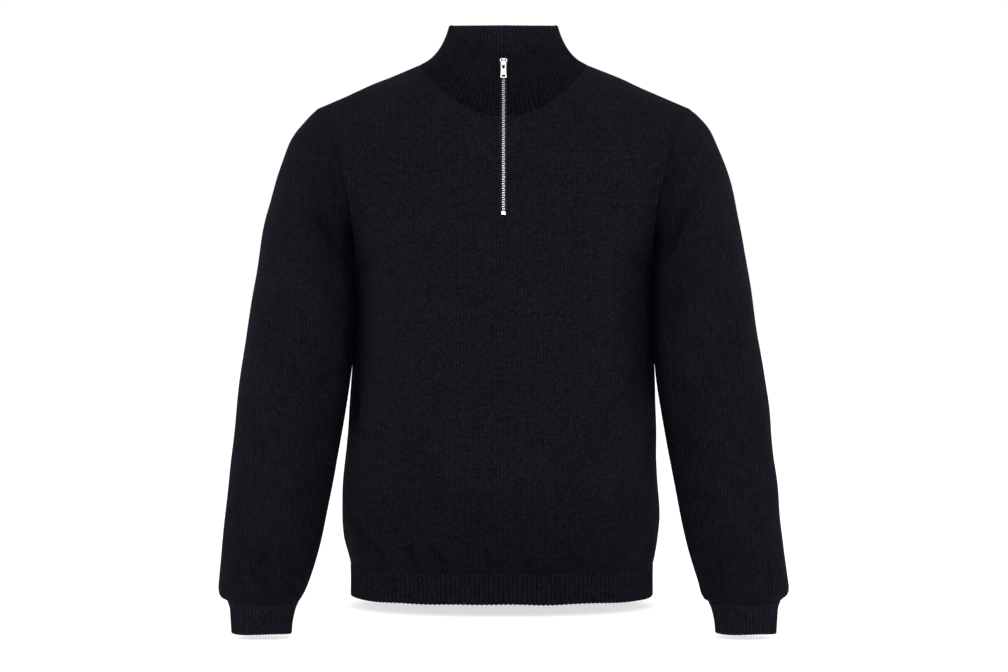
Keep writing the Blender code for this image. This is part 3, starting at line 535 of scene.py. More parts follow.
def panel_piece(node, face, strokes, seed):
    """The front or the back, with its creases, its seams and the painted shade on its cloth."""
    grid = panel(face)
    x, y, height = np.moveaxis(grid, 2, 0)
    normals = normals_of(grid, -face)
    middle = grid.shape[1] // 2
    u, v = wale_lengths(grid, -face, middle)
    u[:ARMPIT_ROW] = u[ARMPIT_ROW]
    across, along = travelled_along(grid, 1), travelled_along(grid, 0)
    to_side = np.minimum(across, across[:, -1:] - across)
    to_seam = np.minimum(along, along[-1:] - along)
    shoulder = np.abs(SHARE_OF[face]) > NECK_SHARE
    to_seam[:, shoulder] = along[:, shoulder]
    to_side[:, shoulder] = np.minimum(to_side, along[-1:] - along)[:, shoulder]
    calm, left_out = 1.0, None
    if face == FRONT:
        from_slit = np.maximum(np.abs(x) - slit_half(height), 0)
        to_slit = np.hypot(from_slit, np.maximum(along[SLIT_ROW] - along, 0))
        normals[SLIT_ROW:, :, 0] *= smooth(from_slit[SLIT_ROW:] / SLIT_FLAT)
        normals = unit(normals)
        calm = smooth(to_slit / SLIT_CALM)
        to_seam = np.minimum(to_seam, to_slit)
        left_out = np.zeros((len(grid) - 1, grid.shape[1] - 1), bool)
        left_out[SLIT_ROW:, middle - 1 : middle + 1] = True
    sink = np.maximum(sink_at_seam(to_seam), sink_at_seam(to_side, FLAT_SEAM))
    near_seam = smooth(np.minimum(to_seam, to_side) / NEAR_SEAM)
    folds = creases(grid, normals, strokes, face)
    lift = (folds + unevenness(grid) * calm) * near_seam - sink
    # The pieces stop just short of the seams between them.
    apart = SEAM_GAP / 2
    ways = np.gradient(grid, axis=1), np.gradient(grid, axis=0)
    for way, at, sign in ((0, 0, 1), (0, -1, -1), (1, 0, 1), (1, -1, -1)):
        edge = (slice(None), at) if way == 0 else at
        grid[edge] += sign * unit(ways[way][edge]) * apart
    outer = grid + normals * lift[:, :, None]
    knit = np.stack([u, v, np.full(u.shape, seed)], axis=2)
    # Painted shade along the seams.
    shading = SEAM_DARK * (spot(to_seam, LINKED_SHADE) + spot(to_side, FLAT_SHADE))
    # Painted shade darkens the cloth low down, where the sleeves lie against the sides, and in the
    # folds.
    shading += LOW_DARK * ramp(height, *LOW_Z)
    in_front = ramp(y, *SIDE_Y)
    beside_sleeve = in_front * ramp(height, *SIDE_TOP_Z) * ramp(height, *SIDE_FOOT_Z)
    for side, (start, darkest, dark, fold, foot) in DARK_SIDES.items():
        in_fold = in_front * ramp(height, *FOLD_TOP_Z) * ramp(height, foot, foot + 0.06)
        shading += dark * ramp(side * x, start, darkest) * beside_sleeve
        shading += ramp(side * x, fold, fold + 0.005) * in_fold
    # Painted shade in the creases' troughs.
    shading = np.clip(shading + CREASE_DARK * np.maximum(-folds, 0), 0, 1)
    made_of = outer, normals, knit, shading, jersey_finish, CLOTH - sink
    piece = wall(node + "_panel", node, "knit_jersey", *made_of, -face, left_out)


panel_piece("front", FRONT, FRONT_CREASES, 0.0)

# --- Back ---
# The back is a second jersey panel in the same yarn, a little higher at the neck and with no slit.
# It hangs from the shoulder blades in long soft folds, and is gathered by the rib as the front is.

BACK_CREASES = metres(
    (-180, -558, -150, -608, 2, 8.5, 3.2),
    (-124, -583, -108, -619, -2, 7.5, 2.4),
    (-70, -588, -58, -622, 2, 7, 1.9),
    (-4, -594, 14, -621, 1, 7, 1.8),
    (60, -588, 46, -620, -2, 7.5, 2.4),
    (118, -580, 104, -618, 2, 7, 2),
    (178, -556, 146, -610, -3, 8.5, 3.3),
    (-176, -274, -106, -211, 6, 12, 1.9),
    (176, -270, 110, -216, -5, 12, 1.8),
    (-110, -330, -86, -520, 12, 26, 2.2),
    (100, -350, 74, -540, -10, 24, 2),
    (-10, -420, 12, -560, 8, 30, 1.4),
)
panel_piece("back", BACK, BACK_CREASES, 0.7)

# --- Sleeves ---
# Each sleeve is one jersey piece, linked along the underarm into a tube and then linked into the
# armhole. The thick cotton folds where the arm meets the chest and slumps over the cuff.

SLEEVE_RINGS = metres(
    # x and z of the outer edge and of the inner edge, half depth, y of the middle
    (232.5, -56.5, 188.5, -235, 72, 0),
    (244.3, -69.6, 189, -241, 72.5, -2),
    (258, -87, 186, -249, 72.5, -6),
    (270, -110.5, 182.5, -260, 72, -12),
    (280, -141, 180, -274, 70.5, -19),
    (289, -178, 179, -293, 68.5, -26),
    (297.5, -223, 178.5, -320, 66, -32),
    (305.5, -274, 180, -352, 63, -34),
    (314, -325, 185.5, -386, 60, -34),
    (323, -388, 193, -426, 56, -33),
    (331.2, -452, 202.5, -478, 50.5, -32),
    (338.5, -522, 214, -538, 44.5, -31),
    (344.8, -585, 225.8, -595, 39, -31),
    (350, -630, 237.8, -635, 35.5, -31),
    (348, -653, 246.5, -656, 32.5, -31),
    (340, -666.5, 253, -668, 27.5, -31),
)
# How far each sleeve hangs out from the table's place, and its lower end besides.
SLEEVE_SET, SLEEVE_SET_DROP = {LEFT: -0.0016, RIGHT: 0.0010}, 0.12
CUFF_SET, CUFF_SET_Z = {LEFT: 0.0036, RIGHT: 0.0}, (-0.60, -0.65)
CAP_RINGS = 6  # the rings over which the sleeve takes on the armhole's line
SIDE_CLEARANCE, SIDE_EASE, SIDE_EASE_FROM_Z, SIDE_ROUND = 0.0018, 0.10, -0.19, 0.003
ARMHOLE_STEPS = 9  # equal turns of the sleeve's ring from the shoulder to the armpit
ARMHOLE_RISES = np.append(
    np.linspace(0, SLIT_RISE, 3), np.linspace(SLIT_RISE, 1, ARMHOLE_STEPS - 1)[1:]
)


def arm_rings(table, at, turns, side):
    """Ovals at these places down a table of rings, from the underarm round by the front."""
    rows = np.column_stack([np.arange(len(table)), np.array(table)])
    outer_x, outer_z, inner_x, inner_z, half_depth, middle_y = read(rows, at).T[:, :, None]
    drop = smooth((SHOULDER_POINT[2] - outer_z) / SLEEVE_SET_DROP)
    outer_x = outer_x + SLEEVE_SET[side] * drop + CUFF_SET[side] * ramp(outer_z, *CUFF_SET_Z)
    lean, front = np.cos(turns), np.sin(turns)
    x = (outer_x + inner_x) / 2 + (outer_x - inner_x) / 2 * lean
    z = (outer_z + inner_z) / 2 + (outer_z - inner_z) / 2 * lean
    return np.stack([side * x, middle_y - half_depth * front, z], axis=2)


def armhole(turns, side):
    """The armhole's edge at these turns: the front panel's side where they are positive."""
    edge = np.zeros((len(turns), 3))
    for face, which in ((FRONT, turns >= 0), (BACK, turns < 0)):
        steps = ARMHOLE_STEPS * (1 - np.abs(turns[which]) / math.pi)
        rises = np.interp(steps, np.arange(ARMHOLE_STEPS + 1), ARMHOLE_RISES)
        foot = body_row(ARMPIT_Z, side, face, [1.0])
        edge[which] = upper_rows(foot, np.ones(1), side, face, rises)[:, 0]
    return edge


def clear_of_body(grid, side):
    """The sleeve's points, eased out sideways where they would touch the body's side."""
    x, y, z = np.moveaxis(grid, 2, 0)
    left, right, front, back = read(BODY_RINGS, np.minimum(z, ARMPIT_Z).ravel()).T
    depth = np.where(y.ravel() < 0, front, back)
    within = 1 - np.minimum(np.abs(y.ravel()) / depth, 1) ** BODY_ROUNDNESS
    half_width = (left if side == LEFT else right) * within ** (1 / BODY_ROUNDNESS)
    least = half_width.reshape(x.shape) + SIDE_CLEARANCE
    least = least - SIDE_EASE * np.maximum(z - SIDE_EASE_FROM_Z, 0)
    spare = np.abs(x) - least
    eased = least + (spare + np.sqrt(spare**2 + SIDE_ROUND**2)) / 2
    return np.stack([side * eased, y, z], axis=2)


def shift_rows(grid, start, end):
    """Draws the first and last rows of a grid in, along it, by these lengths."""
    first, last = unit(grid[1] - grid[0]) * start, unit(grid[-2] - grid[-1]) * end
    grid[0] += first
    grid[-1] += last
    return grid


SLEEVE_CREASES = {
    # x and z of the start and of the end, bow, half width, depth
    RIGHT: metres(
        (-238, -172, -193, -268, 5, 7, 5.6),
        (-212, -196, -194, -236, 2, 6.5, 4),
        (-214, -128, -196, -182, 3, 8, 3),
        (-216, -266, -196, -330, 4, 8.5, 3.6),
        (-192, -372, -236, -404, 3, 8, 3.6),
        (-284, -330, -236, -402, -8, 12, 2.2),
        (-204, -440, -250, -472, 3, 9.5, 2.8),
        (-312, -430, -262, -500, -8, 12, 2),
        (-222, -512, -268, -546, 4, 9, 2.4),
        (-256, -600, -268, -668, 2, 6.5, 2.6),
        (-292, -590, -290, -670, 3, 7, 3),
        (-322, -604, -314, -670, -2, 6.5, 2.6),
    ),
    LEFT: metres(
        (234, -166, 193, -262, -6, 7, 5.2),
        (216, -202, 194, -248, -2, 6.5, 4.2),
        (210, -124, 195, -180, -3, 8, 3),
        (222, -276, 197, -346, -5, 8.5, 3.8),
        (194, -386, 240, -418, -3, 8, 3.2),
        (282, -322, 232, -392, 8, 12, 2.4),
        (206, -456, 252, -486, -3, 9.5, 2.8),
        (314, -440, 266, -506, 8, 12, 2.2),
        (224, -520, 272, -552, -4, 9, 2.2),
        (260, -602, 272, -668, -2, 6.5, 2.8),
        (296, -596, 292, -670, -3, 7, 2.6),
        (326, -600, 316, -670, 2, 6.5, 2.8),
    ),
}
SLEEVE_CREASES_BEHIND = metres(
    (192, -190, 246, -236, 6, 10, 3.4),
    (186, -252, 226, -330, -6, 10, 3),
    (296, -372, 226, -424, -10, 12, 3.4),
    (304, -404, 236, -470, -8, 11, 3),
    (214, -512, 276, -548, 4, 10, 2.4),
    (262, -604, 274, -668, -2, 6.5, 2.6),
    (304, -594, 300, -670, -3, 7, 2.8),
)
SLUMP = {LEFT: 0.0040, RIGHT: 0.0022}  # how much more the sleeve fills out above its cuff
SLUMP_AT, SLUMP_OVER = 14.1, 0.75  # in rings down the table
# How dark the painted shade is at the cuff's seam, in the fold over the armpit, and where the
# sleeve faces the body.
CUFF_SEAM_DARK, ARMPIT_DARK, INWARD_DARK = 0.08, 0.28, 0.08
FREE_X, FREE_Y = (0.190, 0.210), (0.050, 0.080)  # clear of the body past these
ARMPIT_DARK_Z, ARMPIT_DARK_LENGTH = (-0.15, -0.20), 0.013
PRESSED_WIDTH = {LEFT: 0.0068, RIGHT: 0.0085}
PRESSED_TOP_Z, PRESSED_FOOT_Z = (-0.19, -0.23), (-0.50, -0.45)
PRESSED_LOW, PRESSED_LOW_Z = 0.45, (-0.41, -0.36)  # the painted shade is weaker below the elbow
PRESSED_BEHIND, PRESSED_Y = 0.25, (-0.010, -0.040)  # and weaker behind the middle
SLEEVE_TURNS = np.linspace(-math.pi, math.pi, 131)
SLEEVE_PLACES = np.linspace(0, len(SLEEVE_RINGS) - 1, 196)
for side, name in ((LEFT, "left"), (RIGHT, "right")):
    grid = arm_rings(SLEEVE_RINGS, SLEEVE_PLACES, SLEEVE_TURNS, side)
    hold = np.maximum(1 - SLEEVE_PLACES / CAP_RINGS, 0)[:, None, None] ** 2
    grid = grid + (armhole(SLEEVE_TURNS, side) - grid[0]) * hold
    grid += (clear_of_body(grid, side) - grid) * smooth(SLEEVE_PLACES)[:, None, None]
    x, y, height = np.moveaxis(grid, 2, 0)
    normals = normals_of(grid, side)
    around, along = travelled_along(grid, 1), travelled_along(grid, 0)
    u = around - around[:, len(SLEEVE_TURNS) // 2, None]
    to_flat_seam = np.minimum(np.minimum(around, around[:, -1:] - around), along)
    to_cuff = along[-1:] - along
    sink = np.maximum(sink_at_seam(to_cuff), sink_at_seam(to_flat_seam, FLAT_SEAM))
    near_seam = smooth(np.minimum(to_cuff, to_flat_seam) / NEAR_SEAM)
    behind = [
        (side * x0, z0, side * x1, z1, side * bow, half_width, depth)
        for x0, z0, x1, z1, bow, half_width, depth in SLEEVE_CREASES_BEHIND
    ]
    folds = creases(grid, normals, SLEEVE_CREASES[side], FRONT)
    folds = folds + creases(grid, normals, behind, BACK)
    # Where the sleeve lies against the body it stays smooth.
    free = np.maximum(ramp(side * x, *FREE_X), ramp(np.abs(y), *FREE_Y))
    slump = SLUMP[side] * spot(SLEEVE_PLACES[:, None] - SLUMP_AT, SLUMP_OVER)
    lift = (folds + 1.5 * unevenness(grid) + slump) * free * near_seam - sink
    grid = shift_rows(grid, SEAM_GAP / 2, SEAM_GAP / 2)
    outer = grid + normals * lift[:, :, None]
    knit = np.stack([u, -along, np.full(u.shape, 1.3 + 0.5 * side)], axis=2)
    # Painted shade along the cuff's seam and the flat seams.
    shading = CUFF_SEAM_DARK * spot(to_cuff, LINKED_SHADE)
    shading += SEAM_DARK * spot(to_flat_seam, FLAT_SHADE)
    # Painted shade darkens the sleeve where it is pressed to the body, and in the fold over the
    # armpit.
    from_inner = side * x - (side * x).min(axis=1, keepdims=True)
    inward = smooth(0.2 - 1.5 * side * normals[:, :, 0]) * smooth(along / 0.02)
    above_armpit = ramp(height, *ARMPIT_DARK_Z) * spot(along, ARMPIT_DARK_LENGTH)
    # Painted shade where the sleeve lies against the body.
    pressed_shade = ramp(height, *PRESSED_TOP_Z) * ramp(height, *PRESSED_FOOT_Z)
    pressed_shade *= PRESSED_LOW + (1 - PRESSED_LOW) * ramp(height, *PRESSED_LOW_Z)
    pressed_shade *= PRESSED_BEHIND + (1 - PRESSED_BEHIND) * ramp(y, *PRESSED_Y)
    shading += pressed_shade * spot(from_inner, PRESSED_WIDTH[side])
    shading += INWARD_DARK * inward + ARMPIT_DARK * above_armpit
    # Painted shade in the creases' troughs.
    shading = np.clip(shading + CREASE_DARK * np.maximum(-folds, 0), 0, 1)
    node = "sleeve_" + name
    made_of = outer, normals, knit, shading, jersey_finish, CLOTH - sink
    piece = wall(node + "_tube", node, "knit_jersey", *made_of, side)

# --- Hem rib ---
# The hem is a deep band of one-by-one rib, a stitch standing out and a stitch lying back by turns.
# It is linked to the lower edge of the body, draws it in a little, and ends in small scallops.

HEM_Z = -0.6598
HEM_RIBS = 176
HEM_RIB = 0.0059  # from rib to rib
RIB_DEPTH = 0.0008
SAMPLES = 8  # points across one rib
RIB_SINK, RIB_SHADE, RIB_DARK = 0.4, 0.0024, 0.06  # at its seam: a share of the groove, and how wide its painted shade reads; and the painted shade in its furrows
THINNEST = 0.0008
END_OVER = 0.010  # how far up from its edge a rib's scallops reach
# Its tone of 0.92 is painted shade that darkens the whole hem rib.
rib_finish = knitted_finish("navy_cotton_rib", HEM_RIB, 0.0034, 0.9, 0.0004, 0.4, 0.92)


def rib_relief(phase):
    """How far a rib stands out, from 0 in its furrow to 1 on its crown."""
    return 1 - np.abs(2 * (phase % 1.0) - 1) ** 2.4


def edge_round(distance):
    """How far the face turns in at a finished edge, where the rib's two faces meet."""
    radius = CLOTH / 2
    past = np.clip(1 - distance / radius, 0, 1)
    return 0.85 * radius * (1 - np.sqrt(1 - past**2))


def ribbed_wall(name, node, grid, out, phase, rib, to_seam, to_edge, seed, finish):
    """A ribbed wall on this grid. Each furrow on its outer face is a crown on its inner face."""
    normals = normals_of(grid, out)
    relief, behind = rib_relief(phase), rib_relief(phase + 0.5)
    full = 0.25 + 0.75 * smooth(to_seam / 0.012)
    rounded = edge_round(to_edge)
    sink = RIB_DEPTH * full * (1 - relief) + RIB_SINK * sink_at_seam(to_seam) + rounded
    thickness = np.maximum(CLOTH - sink - RIB_DEPTH * full * (1 - behind) - rounded, THINNEST)
    along = travelled_along(grid, 0)
    knit = np.stack([phase * rib, -along, np.full(phase.shape, seed)], axis=2)
    # Painted shade along the seam and in the rib's furrows.
    shading = np.clip(SEAM_DARK * spot(to_seam, RIB_SHADE) + RIB_DARK * (1 - relief), 0, 1)
    outer = grid - normals * sink[:, :, None]
    return wall(name, node, "knit_rib", outer, normals, knit, shading, finish, thickness, out)


quarter = np.linspace(0, 1, HEM_RIBS // 4 * SAMPLES + 1)
rib_rows = np.concatenate(
    [HEM_Z + np.array((0, 0.0003, 0.0007, 0.0013)), np.linspace(HEM_Z + 0.0022, RIB_TOP_Z, 15)]
)


def hem_ring(height):
    """All round the body, from the wearer's right side by the front."""
    front_right, front_left, back_left, back_right = (
        body_row(height, side, face, quarter)
        for side, face in ((RIGHT, FRONT), (LEFT, FRONT), (LEFT, BACK), (RIGHT, BACK))
    )
    return np.concatenate(
        [front_right[::-1], front_left[1:], back_left[::-1][1:], back_right[1:]]
    )


grid = np.array([hem_ring(height) for height in rib_rows])
x, y, height = np.moveaxis(grid, 2, 0)
phase = np.tile(np.arange(grid.shape[1]) / SAMPLES, (len(grid), 1))
bottom = smooth(1 - (height - HEM_Z) / END_OVER)
turn = np.arange(grid.shape[1]) / grid.shape[1] * 2 * math.pi
wander = 0.0004 * np.sin(7 * turn + 0.6) + 0.0003 * np.sin(13 * turn + 2.0)
# In front the hem hangs a little lower at both corners.
wander = wander + 0.0016 * spot(np.abs(x) - 0.150, 0.024) * (y < 0)
height -= bottom * (0.0009 * rib_relief(phase) + wander)
to_edge = travelled_along(grid, 0)
to_seam = to_edge[-1:] - to_edge
grid = shift_rows(grid, 0.0, SEAM_GAP / 2)
piece = ribbed_wall(
    "hem_rib_band", "hem_rib", grid, 1, phase, HEM_RIB, to_seam, to_edge, 2.1, rib_finish
)

# --- Cuffs ---
# The cuffs are short tubes of the same cotton rib, knitted narrower. They are linked to the ends of
# the sleeves and hold their fullness in.

CUFF_RINGS = metres(
    # as the sleeves' rings, from the last of them down
    (340, -666.5, 253, -668, 27.5, -31),
    (337.2, -674.5, 256.5, -675.5, 24.8, -31),
    (336, -690, 260, -690.5, 23.8, -31),
    (335, -705, 261.5, -705, 23, -31),
)
CUFF_RIBS, CUFF_RIB = 50, 0.0043
# Its tone of 1.45 is painted light that brightens the whole cuffs.
cuff_finish = knitted_finish("navy_cotton_cuff_rib", CUFF_RIB, 0.0030, 0.9, 0.0004, 0.35, 1.45)
cuff_turns = np.linspace(-math.pi, math.pi, 721)
cuff_places = np.append(np.linspace(0, 2.84, 16), (2.91, 2.955, 2.98, 3.0))
for side, name in ((LEFT, "left"), (RIGHT, "right")):
    # The ribs stand evenly round the middle of the cuff.
    tube = arm_rings(CUFF_RINGS, cuff_places, cuff_turns, side)
    length = travelled_along(tube, 1)[len(cuff_places) // 2]
    phase = np.arange(CUFF_RIBS * SAMPLES + 1) / SAMPLES
    turns = np.interp(phase / CUFF_RIBS, length / length[-1], cuff_turns)
    grid = arm_rings(CUFF_RINGS, cuff_places, turns, side)
    phase = np.tile(phase, (len(grid), 1))
    to_seam = travelled_along(grid, 0)
    to_edge = to_seam[-1:] - to_seam
    bottom = smooth(1 - to_edge / END_OVER)
    wander = 0.0005 * np.sin(3 * turns + 1.1 * side)
    grid[:, :, 2] -= bottom * (0.0008 * rib_relief(phase) + wander)
    grid = shift_rows(grid, SEAM_GAP / 2, 0.0)
    node, seed = "cuff_" + name, 2.7 + side
    piece = ribbed_wall(
        node + "_tube", node, grid, side, phase, CUFF_RIB, to_seam, to_edge, seed, cuff_finish
    )

# --- Collar ---
# The stand-up collar is one band of rib folded in half over the zip's upper end, so two layers
# stand round the neck. Its ribs fan out from the fold down to the neckline, where it is linked.

COLLAR_FULL, COLLAR_LAYER = 0.0062, 0.0021
COLLAR_TOP_HALF = 0.0684
COLLAR_TOP_DEPTH = {FRONT: 0.0660, BACK: 0.0650}
COLLAR_TOP_SIDE_Z = 0.0468
COLLAR_TOP_CENTRE_Z = {FRONT: 0.0047, BACK: 0.0560}
COLLAR_DIP = (
    # share of the half width, and share of the climb to the side
    (0.0, 0.0), (0.20, 0.0), (0.35, 0.035), (0.46, 0.10), (0.58, 0.25), (0.73, 0.51), (1.0, 1.0)
)
COLLAR_BENDS = (
    # shares of the way inward and upward: at the side, and at the centre
    ((0.45, 0.12), (0.34, 0.28)),
    ((0.80, 0.45), (0.70, 0.63)),
)
COLLAR_HEIGHTS = np.linspace(0, 1, 25)
COLLAR_TUCK, COLLAR_ROW = 0.012, 0.0034  # the inner layer turned back, and the length of a row
COLLAR_RIB, COLLAR_RIB_DEPTH = 0.0043, 0.0006
# How dark the painted shade makes the collar at its seam, in its furrows, beside the zip, and
# towards its foot.
COLLAR_SEAM_DARK, FURROW_DARK, ZIP_DARK, FOOT_DARK, FOOT = 0.12, 0.12, 0.4, 0.27, 0.060
# Painted light on the collar's inside layer.
INSIDE_PAINTED_LIGHT, INSIDE_PALER_Z = 1.9, (-0.004, 0.022)
# Its tone of 0.75 is painted shade that darkens the whole collar.
collar_finish = knitted_finish(
    "navy_cotton_collar_rib", COLLAR_RIB, 0.0033, 0.9, 0.00035, 0.55, 0.75
)


def collar_columns(turns, side, face):
    """The collar's outer face at these turns from the front or back, from neckline to fold."""
    feet = neckline(turns, side, face)
    across, along = np.sin(turns), np.cos(turns)
    side_z, centre_z = COLLAR_TOP_SIDE_Z, COLLAR_TOP_CENTRE_Z[face]
    climb = 1 - along if face == BACK else read(np.array(COLLAR_DIP), across)[:, 0]
    x, y = side * COLLAR_TOP_HALF * across, face * COLLAR_TOP_DEPTH[face] * along
    heads = np.stack([x, y, centre_z + (side_z - centre_z) * climb], axis=1)
    bends = []
    for at_side, at_centre in COLLAR_BENDS:
        inward, upward = (
            (at_centre[way] + (at_side[way] - at_centre[way]) * across**2)[:, None]
            for way in (0, 1)
        )
        bend = feet + (heads - feet) * inward
        bend[:, 2] = feet[:, 2] + ((heads - feet) * upward)[:, 2]
        bends.append(bend)
    grid = bezier(feet, *bends, heads, COLLAR_HEIGHTS[:, None, None])
    if face == FRONT:
        shares = NECK_SHARE * np.interp(turns, neck_turn(COLLAR_HEIGHTS), COLLAR_HEIGHTS)
        grid[:, :, 0] += side * slit_push(grid[:, :, 2], shares)
    return grid


turns = np.linspace(0, math.pi / 2, 197)
grid = np.concatenate(
    [
        collar_columns(turns, LEFT, FRONT),
        collar_columns(turns[::-1], LEFT, BACK)[:, 1:],
        collar_columns(turns, RIGHT, BACK)[:, 1:],
        collar_columns(turns[::-1], RIGHT, FRONT)[:, 1:],
    ],
    axis=1,
)
columns = np.arange(grid.shape[1])


def collar_normals(grid):
    """Normals out of the collar, which face straight forward at the slit's edges."""
    normals = normals_of(grid, 1)
    normals[:, :, 0] *= smooth(np.minimum(columns, columns[::-1]) / 10)
    return unit(normals)


normals = collar_normals(grid)
rise = unit(grid[-1] - grid[-2])
radius = COLLAR_FULL / 2
fold = np.array(
    [
        grid[-1] - normals[-1] * radius * (1 - math.cos(turn)) + rise * radius * math.sin(turn)
        for turn in np.linspace(0, math.pi, 9)[1:-1]
    ]
)
inner = (grid - normals * COLLAR_FULL)[::-1]
tuck_rows = int(round(COLLAR_TUCK / COLLAR_ROW))
inside_from = len(grid) + (len(fold) + 1) // 2
grid = np.concatenate([grid, fold, inner[: len(inner) - tuck_rows]])
normals = collar_normals(grid)
along, across = travelled_along(grid, 0), travelled_along(grid, 1)
to_slit = np.minimum(across, across[:, -1:] - across)
phase = np.tile(columns / SAMPLES, (len(grid), 1))
relief = rib_relief(phase)
full = (0.35 + 0.65 * smooth(along / 0.006)) * smooth(to_slit / 0.004)
# The rib lies flatter in some places than in others.
full = full * smooth(0.55 + 420 * unevenness(grid * 1.4))
sink = COLLAR_RIB_DEPTH * full * (1 - relief) + 0.8 * sink_at_seam(along)
sink = sink + 0.0009 * spot(to_slit, 0.0022)
grid = shift_rows(grid, SEAM_GAP / 2, 0.0)
knit = np.stack([phase * COLLAR_RIB, along, np.full(phase.shape, 4.4)], axis=2)
# Painted shade at the seam, beside the zip, in the furrows and towards the foot.
shading = COLLAR_SEAM_DARK * spot(along, RIB_SHADE) + ZIP_DARK * spot(to_slit, 0.0020)
shading += FURROW_DARK * (1 - relief) * full + FOOT_DARK * smooth(1 - along / FOOT)
shading = np.clip(shading, 0, 1)
# Painted light: the layer inside, against the neck, is made paler than the rest from just below the
# fold.
shading[inside_from:] -= INSIDE_PAINTED_LIGHT * ramp(grid[inside_from:, :, 2], *INSIDE_PALER_Z)
outer = grid - normals * sink[:, :, None]
made_of = outer, normals, knit, shading, collar_finish, COLLAR_LAYER - sink
piece = wall("collar_fold", "collar", "knit_rib", *made_of)

# --- Zip tapes ---
# Two strips of woven navy tape lie behind the slit's edges, machined to the panel and caught
# between the collar's two layers. Only the cord along each inner edge shows beside the teeth.

TAPE_DEPTH, TAPE = 0.0031, 0.0006
TAPE_INNER, TAPE_OUTER = 0.0015, 0.0155
TAPE_BELOW_SLIT, TAPE_BELOW_COLLAR = 0.012, 0.0035
TAPE_NAVY, TAPE_NAVY_LOW = (0.0085, 0.0090, 0.0135, 1), (0.0030, 0.0032, 0.0048, 1)
HERRINGBONE, TWILL = 0.0024, 0.00085  # how wide a band of twill is, and each of its ribs
WARP = 2600.0  # radians of the warp's ribs in each metre across

tape_finish, shader, dye = finish_of("navy_woven_tape", {"Specular IOR Level": 0.3})
place = dye.node("Attribute", {"attribute_name": "knit"}, {}, "Vector")
fold = dye.maths("PINGPONG", place.part(0) / HERRINGBONE, 1.0)
twill = dye.maths("SINE", (fold * 3.1 + place.part(1) / TWILL) * (2 * math.pi))
weave = twill * 0.35 + dye.maths("SINE", place.part(0) * WARP) * 0.15 + 0.5
weave.blend(TAPE_NAVY_LOW, TAPE_NAVY).into(shader, "Base Color")
(0.86 - weave * 0.14).into(shader, "Roughness")
weave.bump(0.00015, shader)
for side, name in ((LEFT, "left"), (RIGHT, "right")):
    beside_slit = np.concatenate(
        [
            half_panel(side, FRONT)[SLIT_ROW - 4 :, :10],
            collar_columns(np.linspace(0, 0.5, 40), side, FRONT)[1:, :40:4],
        ]
    )
    strip = np.sort(side * np.linspace(TAPE_INNER, TAPE_OUTER, 12))
    grid = np.zeros((len(beside_slit), len(strip), 3))
    for row, places in zip(grid, beside_slit):
        row[:, 0] = strip
        for axis in (1, 2):
            row[:, axis] = np.interp(np.abs(strip), np.abs(places[:, 0]), places[:, axis])
    length = travelled_along(grid, 0)[:, 0]
    slit_foot = np.interp(SLIT_FOOT_Z, grid[:, 0, 2], length)
    lengths = np.linspace(slit_foot - TAPE_BELOW_SLIT, length[-1] - TAPE_BELOW_COLLAR, 90)
    grid = np.apply_along_axis(lambda way: np.interp(lengths, length, way), 0, grid)
    normals = normals_of(grid, 1)
    grid -= normals * TAPE_DEPTH
    from_edge = np.abs(grid[:, :, 0]) - TAPE_INNER
    cord = 0.0004 * spot(from_edge - 0.0005, 0.0007)
    knit = np.stack([grid[:, :, 0], lengths[:, None] + 0 * cord, 0 * cord], axis=2)
    made_of = grid + normals * cord[:, :, None], normals, knit, 0 * cord, tape_finish
    piece = wall(
        "zip_tape_strip_" + name, "zip_tape_" + name, "zip_tape", *made_of, TAPE + 2 * cord
    )

# --- Zip teeth ---
# Small die-cast teeth are clamped on the tapes' cords by turns, left and right, each with its head
# caught between two of the other side's. The zip is closed up to the slider.

TOOTH_PITCH = 0.0056  # on each side
TOOTH_DEPTH = 0.0024
TOOTH_OUTLINE = metres(
    # across, from the tape's side, and half its height there
    (1.86, 0.72),
    (1.75, 0.94),
    (0.85, 0.94),
    (0.4, 0.76),
    (-0.2, 0.72),
    (-0.65, 0.88),
    (-1.18, 0.86),
    (-1.46, 0.58),
)
CHAIN_FOOT, FIRST_TOOTH = 0.0056, 0.0066
SLIDER_HALF, SLIDER_TOP_BELOW_COLLAR, CHAIN_INTO_SLIDER = 0.0054, 0.0049, 0.0012


def metal_finish(name, tone, roughness, scratches):
    """Plated metal, a little dull, with fine scratches across it and grime in patches."""
    finish, shader, dye = finish_of(name, {"Metallic": 1.0})
    place = dye.node("Attribute", {"attribute_name": "knit"}, {}, "Vector")
    stretched = dye.node("VectorMath", {"operation": "MULTIPLY"}, {0: place, 1: (1, 9, 3)})
    fine, broad = stretched.noise(scratches, 3.0), place.noise(420.0, 2.0)
    grimy = (*(part * 0.62 for part in tone[:3]), 1)
    (broad * 0.6 + fine * 0.4).between(0.32, 0.62).blend(grimy, tone).into(shader, "Base Color")
    (fine * 0.25 + (roughness - 0.12)).into(shader, "Roughness")
    fine.bump(0.00003, shader)
    return finish


def cut_metal(outlines, thickness, rounding):
    """A flat shape with rounded edges: the first outline less the others."""
    curve = bpy.data.curves.new("outline", "CURVE")
    curve.dimensions, curve.fill_mode = "2D", "BOTH"
    curve.extrude, curve.bevel_depth = thickness / 2 - rounding, rounding
    curve.bevel_resolution, curve.offset = 2, -rounding
    for outline in outlines:
        spline = curve.splines.new("POLY")
        spline.points.add(len(outline) - 1)
        spline.use_cyclic_u = True
        for point, (x, y) in zip(spline.points, outline):
            point.co = (x, y, 0, 1)
    shape = bpy.data.objects.new("outline", curve)
    mesh = bpy.data.meshes.new_from_object(shape)
    bpy.data.objects.remove(shape)
    return mesh


